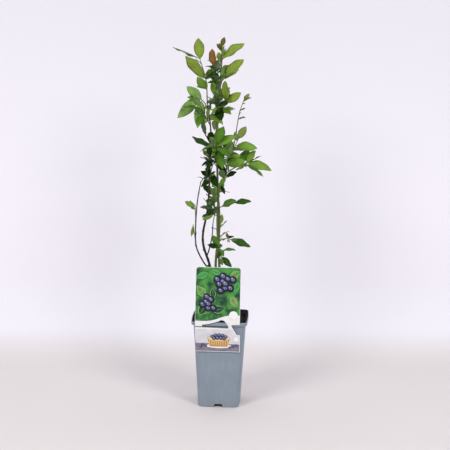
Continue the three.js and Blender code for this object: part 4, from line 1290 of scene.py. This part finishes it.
# the growing rule, with the solids' own numbers; a change here moves leaves off their solids
growthValues = {
    "leafTurn": 144, "turnVary": 50, "closing": 0.3, "openVary": 24, "rollVary": 100, "droopVary": 0.25,
    "shortest": 0.8, "sizeVary": 0.3, "endOpen": 18, "endRollVary": 160, "endDroop": 0.05,
    "spurFrom": 0.35, "spurSpan": 0.5, "spurTurnVary": 40, "spurOpen": 0.8, "spurLength": 0.45,
    "spurLeaves": 2, "spurTurn": 200, "spurBare": 0.45, "spurLeafSize": 0.85,
    "leadDroop": 0.12,
    "slim": 0.21,  # a leaf's widest half-width as a share of its length
    "blade": [(0, 0.05), (0.28, 0.8), (0.52, 1), (0.8, 0.55), (1, 0)],  # half-widths along a leaf
}

# how far leaves and twigs stay from what has grown before them
roomValues = {
    "limbs": 1.8, "masses": 5, "own": 4, "twigOwn": 3.5, "twigMasses": 4.5, "twigLimbs": 2,
    "labelTop": 314, "labelBack": -36,  # leaves below this height stay behind this y
    "samples": 8,  # the places along a leaf that are tried, mostly with three points each
    "ownFrom": 6,  # the first of those points that is tried against the mass's own leaves
}


def seeded(seed):
    state = seed * 2654435761 % 4294967296

    def draw():
        nonlocal state
        state = (state * 1664525 + 1013904223) % 4294967296
        return state / 4294967296

    for _ in range(3):
        draw()
    return draw


def levelAcross(heading):
    across = heading.cross(upwards)
    return across.normalized() if across.length_squared > 0.01 else Vector((1, 0, 0))


def turned(across, heading, degrees):
    angle = math.radians(degrees)
    return across * math.cos(angle) + across.cross(heading) * math.sin(angle)


def spread(heading, turn, opening, out, lean):
    # a direction that opens off a heading, at a turn round it, leaning outwards
    side = levelAcross(heading)
    above = side.cross(heading)
    turn, opening = math.radians(turn), math.radians(opening)
    return (heading * math.cos(opening) + side * (math.sin(opening) * math.cos(turn))
            + above * (math.sin(opening) * math.sin(turn)) + out * lean).normalized()


def newLeaf(base, heading, roll, droop, length):
    across = turned(levelAcross(heading), heading, roll)
    return {"base": base, "heading": heading, "across": across, "droop": droop, "length": length}


def leadLeaf(course, lead):
    share, tip, turn = lead
    droop = growthValues["leadDroop"]
    base = pointOn(course, share)
    reach = Vector(tip) - base
    reach.z += droop * reach.length
    heading = reach.normalized()
    across = turned(heading.cross(frontwards).normalized(), heading, turn)
    return {"base": base, "heading": heading, "across": across, "droop": droop, "length": reach.length}


def ribAt(leaf, share):
    point = leaf["base"] + leaf["heading"] * (leaf["length"] * share)
    point.z -= leaf["droop"] * leaf["length"] * share * share
    return point


def leavesOn(mass, draw, course, count, turn, bare, size):
    # leaves in a spiral along a course, and one at its end
    g = growthValues
    leaves = []
    for k in range(count):
        share = bare + (1 - bare) * (k + 0.4) / count
        angle = turn + g["leafTurn"] * k + (draw() - 0.5) * g["turnVary"]
        opening = mass["open"] * (1 - g["closing"] * share) + (draw() - 0.5) * g["openVary"]
        heading = spread(headingOn(course, share), angle, opening, mass["outwards"], mass["lean"])
        roll = (draw() - 0.5) * g["rollVary"]
        droop = mass["droop"] + g["droopVary"] * draw()
        length = size * (g["shortest"] + g["sizeVary"] * draw()) * (1 - 0.3 * max(0, share - 0.6))
        leaves.append(newLeaf(pointOn(course, share), heading, roll, droop, length))
    angle = draw() * 360
    heading = spread(headingOn(course, 1), angle, g["endOpen"] * draw(), mass["outwards"], 0)
    roll = (draw() - 0.5) * g["endRollVary"]
    length = size * (0.6 + g["sizeVary"] * draw())
    leaves.append(newLeaf(pointOn(course, 1), heading, roll, g["endDroop"], length))
    return leaves


def stemCourse(mass):
    foot = pointOn(limbs[mass["on"]]["course"], mass["at"])
    tip = Vector(mass["tip"])
    return [foot, (foot + tip) / 2 + Vector(mass["bow"]), tip]


def shootsOf(mass, draw):
    # the mass's stem and its side twigs, each as its course and leaves
    g = growthValues
    turn, size = mass["turn"], mass["size"]
    stem = stemCourse(mass)
    shoots = [(stem, leavesOn(mass, draw, stem, mass["leaves"], turn, mass["bare"], size))]
    for k in range(mass["spurs"]):
        share = g["spurFrom"] + g["spurSpan"] * (k + 0.6 * draw()) / mass["spurs"]
        angle = turn + 72 + g["leafTurn"] * k + (draw() - 0.5) * g["spurTurnVary"]
        heading = spread(headingOn(stem, share), angle, mass["open"] * g["spurOpen"], mass["outwards"],
                         mass["lean"])
        length = size * (g["spurLength"] + 0.3 * draw())
        base = pointOn(stem, share)
        course = [base, base + heading * (0.5 * length) - upwards * (0.04 * length),
                  base + heading * length + upwards * (0.12 * length)]
        leaves = leavesOn(mass, draw, course, g["spurLeaves"], turn + g["spurTurn"] * k, g["spurBare"],
                          size * g["spurLeafSize"])
        shoots.append((course, leaves))
    return shoots


def bladeAt(share):
    blade = growthValues["blade"]
    for (start, before), (end, after) in zip(blade, blade[1:]):
        if share <= end:
            return before + (after - before) * (share - start) / (end - start)
    return 0


def leafPoints(leaf):
    # the points at which a leaf is tried: along its midrib and near both margins
    points = []
    samples = roomValues["samples"]
    for k in range(1, samples + 1):
        rib = ribAt(leaf, k / samples)
        half = bladeAt(k / samples) * leaf["length"] * growthValues["slim"] * 0.92
        points.append(rib)
        if k < samples:
            points.append(rib + leaf["across"] * half)
            points.append(rib - leaf["across"] * half)
    return points


def twigPoints(course):
    return [pointOn(course, 0.12 + 0.88 * k / 6) for k in range(1, 7)]


def nearAny(points, others, far):
    if not len(points) or not len(others):
        return False
    gaps = np.array(points)[:, None, :] - np.array(others)[None, :, :]
    return bool(((gaps ** 2).sum(-1) < far * far).any())


def nearLimb(points, far):
    gaps = ((np.array(points)[:, None, :] - limbSpots[None, :, :]) ** 2).sum(-1)
    return bool((gaps < (limbRadii + far)[None, :] ** 2).any())


limbSpots = np.array([pointOn(limb["course"], k / 200) for limb in limbs.values() for k in range(201)])
limbRadii = np.array([limbRadius(limb, k / 200) for limb in limbs.values() for k in range(201)])

masses = {name: {**usual, **row, "outwards": Vector(row["out"]).normalized()}
          for name, row in leafMasses.items()}
for mass in masses.values():
    mass["leadLeaves"] = [leadLeaf(stemCourse(mass), lead) for lead in mass["lead"]]
    mass["leadPoints"] = [point for leaf in mass["leadLeaves"] for point in leafPoints(leaf)]
grownPoints = []


def growMass(name, mass):
    # the mass's shoots with the leaves that fit, as (course, foot radius, leaves), the main stem first
    room, ownFrom = roomValues, roomValues["ownFrom"]
    limb = limbs[mass["on"]]
    shoots = shootsOf(mass, seeded(mass["seed"]))
    stem = shoots[0][0]
    centre = pointOn(stem, 0.55)
    reach = (stem[0] - stem[2]).length / 2 + mass["size"]
    others = grownPoints + [p for key, m in masses.items() if key != name for p in m["leadPoints"]]
    own = [p for leaf in mass["leadLeaves"] for p in leafPoints(leaf)[ownFrom:]]
    grownPoints.extend(mass["leadPoints"])
    grown = []

    def leafFits(points):
        return (all((p - centre).length <= reach for p in points)
                and all(p.z >= room["labelTop"] or p.y >= room["labelBack"] for p in points)
                and not nearLimb(points, room["limbs"])
                and not nearAny(points, others, room["masses"])
                and not nearAny(points[ownFrom:], own, room["own"]))

    def twigFits(points):
        return not (nearLimb(points, room["twigLimbs"]) or nearAny(points, others, room["twigMasses"])
                    or nearAny(points[1:], own, room["twigOwn"]))

    for order, (course, leaves) in enumerate(shoots):
        points = twigPoints(course)
        if order > 0 and not twigFits(points):
            continue
        foot = twigValues["side"] if order > 0 else twigValues["foot"]
        if order == 0 and mass["at"] == 1:
            foot = limbRadius(limb, 1)
        kept = []
        for leaf in leaves:
            spots = leafPoints(leaf)
            if leafFits(spots):
                kept.append(leaf)
                own.extend(spots[ownFrom:])
                grownPoints.extend(spots)
        own.extend(points[1:])
        grownPoints.extend(points)
        grown.append((course, foot, kept))
    return grown


# leaves

# dark and deep are darker copies of the leaf green, partly painted shade for leaves inside and low in the
# bush
tintValues = {
    "fresh": {"colour": (0.202, 0.300, 0.030, 1), "vein": (0.34, 0.44, 0.10, 1), "gloss": 0.2},
    "mid": {"colour": (0.145, 0.300, 0.026, 1), "vein": (0.25, 0.40, 0.08, 1), "gloss": 0.2},
    "grey": {"colour": (0.195, 0.355, 0.080, 1), "vein": (0.32, 0.46, 0.16, 1), "gloss": 0.22},
    "green": {"colour": (0.066, 0.175, 0.012, 1), "vein": (0.14, 0.27, 0.05, 1), "gloss": 0.18},
    "dark": {"colour": (0.024, 0.082, 0.005, 1), "vein": (0.07, 0.16, 0.025, 1), "gloss": 0.14},
    "deep": {"colour": (0.009, 0.034, 0.003, 1), "vein": (0.028, 0.076, 0.012, 1), "gloss": 0.08},
    "young": {"colour": (0.200, 0.260, 0.050, 1), "vein": (0.32, 0.34, 0.11, 1), "gloss": 0.2},
    "bronze": {"colour": (0.215, 0.098, 0.020, 1), "vein": (0.42, 0.23, 0.05, 1), "gloss": 0.2},
    "olive": {"colour": (0.112, 0.095, 0.018, 1), "vein": (0.22, 0.20, 0.05, 1), "gloss": 0.18},
}

leafValues = {
    "stalk": 0.05, "stalkHalf": 0.55,
    "widest": 0.47, "full": 1.015, "taper": (0.88, 0.99),  # the blade's form, below and above its middle
    "along": 13, "across": 3, "coarse": (8, 2),  # spans along and across, the last for small leaves
    "thick": 0.5, "ribThick": 1.0, "fold": 0.16,
    "wave": 0.032, "waves": 2.3, "waveVary": (0.4, 1), "twist": 13, "arch": 0.03, "archVary": (-0.6, 1),
    "patchy": 0.14, "veins": 0.55, "margin": 0.45,  # how strongly patches, veins and the margin show
    "under": 0.4, "underColour": (0.25, 0.34, 0.17, 1),  # how far the underside goes towards this colour
}


def leafMaterial(name, colour, vein, gloss, raised):
    # raised is 1 on the underside, where the veins stand proud, and -1 on top, where they are sunk
    v = leafValues
    material, tree, shader = newMaterial(name, 0.5 if raised < 0 else 0.7, gloss)
    veins = grouped(tree, "veins")
    grain = grouped(tree, "grain", Grain_Size=1.1, Patch_Size=13.0)
    patchy = blend(tree, grain.outputs["Patches"], shade(colour, 1 - v["patchy"]),
                   shade(colour, 1 + v["patchy"]))
    veined = blend(tree, times(tree, veins.outputs["Mask"], v["veins"]), patchy, vein)
    margin = times(tree, veins.outputs["Margin"], v["margin"])
    edged = blend(tree, margin, veined, shade(colour, 0.3))
    tree.links.new(edged, shader.inputs["Base Color"])
    if raised < 0:
        roughen(tree, shader, grain.outputs["Patches"], 0.44, 0.6)
    height = plus(tree, times(tree, veins.outputs["Mask"], 0.7 * raised),
                  times(tree, grain.outputs["Height"], 0.1))
    quilt = times(tree, veins.outputs["Quilt"], -0.3 * raised)
    relief(tree, shader, plus(tree, height, quilt), 0.35, 0.0005)
    return material


def mixed(colourA, colourB, share):
    return tuple(a + (b - a) * share for a, b in zip(colourA, colourB))


leafTops = {}
leafUnders = {}
for name, v in tintValues.items():
    leafTops[name] = leafMaterial(name + "Leaf", v["colour"], v["vein"], v["gloss"], -1)
    under = mixed(v["colour"], leafValues["underColour"], leafValues["under"])
    underVein = mixed(under, v["vein"], 0.5)
    leafUnders[name] = leafMaterial(name + "Underside", under, underVein, v["gloss"] / 2, 1)


def halfWidth(v, leaf, share):
    # a narrow stalk, and then an oval blade with a pointed tip
    if share <= v["stalk"]:
        return v["stalkHalf"]
    t = (share - v["stalk"]) / (1 - v["stalk"])
    low, high = v["taper"]
    blade = v["full"] * (t / v["widest"]) ** low * ((1 - t) / (1 - v["widest"])) ** high
    return max(v["stalkHalf"] * (1 - t), leaf["length"] * growthValues["slim"] * blade)


def leafRows(v, leaf, along, across, rng):
    # the blade's points row by row, its underside's, and their places on the leaf's map
    heading, side = leaf["heading"], leaf["across"]
    face = side.cross(heading)
    twist = math.radians(rng.uniform(-v["twist"], v["twist"]))
    phases = (rng.uniform(0, 2 * math.pi), rng.uniform(0, 2 * math.pi))
    wave = leaf["length"] * v["wave"] * rng.uniform(*v["waveVary"])
    arch = leaf["length"] * v["arch"] * rng.uniform(*v["archVary"])
    top, under, places = [], [], []
    shares = [0, v["stalk"]] + [v["stalk"] + (1 - v["stalk"]) * (k / along) ** 0.9 for k in range(1, along)]
    for share in shares:
        half = halfWidth(v, leaf, share)
        turn = twist * (share - 0.3)
        sideHere = side * math.cos(turn) + face * math.sin(turn)
        faceHere = face * math.cos(turn) - side * math.sin(turn)
        rib = ribAt(leaf, share) + face * (arch * math.sin(math.pi * share))
        swell = min(1, max(0, (share - v["stalk"]) * 12))
        for j in range(-across, across + 1):
            u = j / across
            phase = phases[0] if u < 0 else phases[1]
            lift = v["fold"] * half * abs(u) ** 1.25 * swell
            lift += wave * abs(u) ** 2.5 * swell * math.sin(2 * math.pi * v["waves"] * share + phase)
            point = rib + sideHere * (half * u) + faceHere * lift
            thick = v["thick"] + (v["ribThick"] * (1 - share) - v["thick"] * 0.5) * (1 - abs(u)) ** 4
            top.append(point)
            under.append(point - faceHere * thick * (1 - u * u) ** 0.5)
            places.append((0.5 + u / 2, share))
    return top, under, places


def addLeaf(parts, leaf, tint, rng, coarse=False):
    # a closed blade, whose upper and lower sides share their edge points and have a material each
    v = leafValues
    along, across = v["coarse"] if coarse else (v["along"], v["across"])
    top, under, places = leafRows(v, leaf, along, across, rng)
    wide = 2 * across + 1
    rows = len(top) // wide
    tipIndex = len(top)
    points = top + [ribAt(leaf, 1)]
    spots = places + [(0.5, 1)]
    inner = {}
    for r in range(rows):
        for k in range(r * wide + 1, r * wide + wide - 1):
            inner[k] = len(points)
            points.append(under[k])
            spots.append(places[k])
    upper, lower = [], []
    for r in range(rows - 1):
        for a in range(r * wide, r * wide + wide - 1):
            b, c, d = a + 1, a + wide + 1, a + wide
            upper.append((a, b, c, d))
            lower.append([inner.get(k, k) for k in (a, d, c, b)])
    for a in range(tipIndex - wide, tipIndex - 1):
        upper.append((a, a + 1, tipIndex))
        lower.append([inner.get(k, k) for k in (a, tipIndex, a + 1)])
    lower.append([*range(wide), *(inner[k] for k in range(wide - 2, 0, -1))])
    start = len(parts["points"])
    addPart(parts, points, upper, leafTops[tint], spots)
    parts["faces"].extend([tuple(start + k for k in face) for face in lower])
    parts["slots"].extend([slotOf(parts, leafUnders[tint])] * len(lower))


# twigs

twigValues = {
    "foot": 1.1, "side": 0.95, "tip": 0.7,  # radii at a main twig's foot, a side twig's foot, and the tip
    "sides": 8, "step": 4,
    "green": 0.7, "mainTint": 0.75,  # how often a twig is green, and a leaf has its spray's tint
    "bud": 2.2, "budWidth": 0.75, "budVary": (0.7, 1.1), "budAlong": 1.2,
}

# finer side twigs and their small leaves, whose lengths are shares of the mass's leaf size
finerValues = {
    "smallest": 20,  # a mass with smaller leaves than this has none
    "count": 1, "length": 0.26, "lengthVary": (0.7, 1.2), "radius": 0.5, "lift": 0.15,
    "along": (0.3, 0.95), "open": (35, 65), "lean": 0.3, "limbRoom": 2,
    "leafAt": (0.45, 0.72, 1), "leaf": 0.27, "leafVary": (0.7, 1.15), "leafTurn": 180, "turnVary": 40,
    "leafOpen": 50, "endOpen": 15, "leafLean": 0.1, "roll": 60, "droop": 0.15, "leafRoom": 0.5,
    # masses in the dense middle, with more finer twigs and larger leaves on them
    "dense": {"leaves_upper_centre": 4, "leaves_top_centre": 4, "leaves_middle": 3, "leaves_upper_left": 2,
              "leaves_middle_low": 3, "leaves_low_centre": 3},
    "denseLeaf": 0.45,
}


def dressMass(name, mass):
    rng = random.Random(name)
    grown = growMass(name, mass)
    tints, leadTints = leafTints[name]
    v = twigValues
    leafParts, twigParts = newParts(), newParts()
    green, red = barks["twig"], barks["redTwig"]
    for leaf, tint in zip(mass["leadLeaves"], leadTints):
        addLeaf(leafParts, leaf, tint, rng)
    for order, (course, foot, leaves) in enumerate(grown):
        tint = tints[order % len(tints)]
        rings = max(4, round(courseLength(course) / v["step"]))
        addTube(twigParts, course, lambda t: foot + (v["tip"] - foot) * t, v["sides"], rings,
                green if rng.random() < v["green"] else red)
        for leaf in leaves:
            addLeaf(leafParts, leaf, tint if rng.random() < v["mainTint"] else rng.choice(tints), rng)
            heading = (leaf["heading"] + headingOn(course, 0.5) * v["budAlong"]).normalized()
            addBud(twigParts, leaf["base"] + heading * 0.5, heading, v["bud"] * rng.uniform(*v["budVary"]),
                   v["budWidth"], red)
        growFiner(leafParts, twigParts, name, mass, course, tint, rng)
    makePiece("foliage_" + name, leafParts, [name])
    makePiece("twigs_" + name, twigParts, [name])
    return len(leafParts["faces"])


def growFiner(leafParts, twigParts, name, mass, course, tint, rng):
    # short side twigs with a few small young leaves, clear of the stems and the label
    v = finerValues
    if mass["size"] < v["smallest"]:
        return
    leafShare = v["denseLeaf"] if name in v["dense"] else v["leaf"]
    for _ in range(v["dense"].get(name, v["count"])):
        share = rng.uniform(*v["along"])
        heading = spread(headingOn(course, share), rng.uniform(0, 360), rng.uniform(*v["open"]),
                         mass["outwards"], v["lean"])
        length = mass["size"] * v["length"] * rng.uniform(*v["lengthVary"])
        base = pointOn(course, share)
        twig = [base, base + heading * length / 2, base + heading * length + upwards * v["lift"] * length]
        points = [pointOn(twig, step) for step in (0.4, 0.7, 1)]
        if nearLimb(points, v["limbRoom"]) or (base.z < roomValues["labelTop"] and base.y < 0):
            continue
        addTube(twigParts, twig, lambda t: v["radius"] * (1.2 - 0.5 * t), 6, 4, barks["twig"])
        for j, spot in enumerate(v["leafAt"]):
            turn = v["leafTurn"] * j + rng.uniform(-v["turnVary"], v["turnVary"])
            way = spread(headingOn(twig, spot), turn, v["endOpen"] if spot == 1 else v["leafOpen"],
                         mass["outwards"], v["leafLean"])
            size = mass["size"] * leafShare * rng.uniform(*v["leafVary"])
            leaf = newLeaf(pointOn(twig, spot), way, rng.uniform(-v["roll"], v["roll"]), v["droop"], size)
            if not nearLimb(leafPoints(leaf), v["leafRoom"]):
                addLeaf(leafParts, leaf, tint, rng, coarse=True)


# the bush is put together

makeCamera(cameraValues)
makeStudio(studioValues)
print("camera and studio")
makePot(potValues)
makePeat(peatValues, potValues)
print("pot and peat")
makeCard(labelValues)
printPicture(labelValues, printValues)
print("label")
for name, limb in limbs.items():
    makeLimb(name, limb, limbShape)
print("stems", len(limbs))
faceCount = 0
for name, mass in masses.items():
    faceCount += dressMass(name, mass)
print("leaf masses", len(masses), "with", faceCount, "faces")
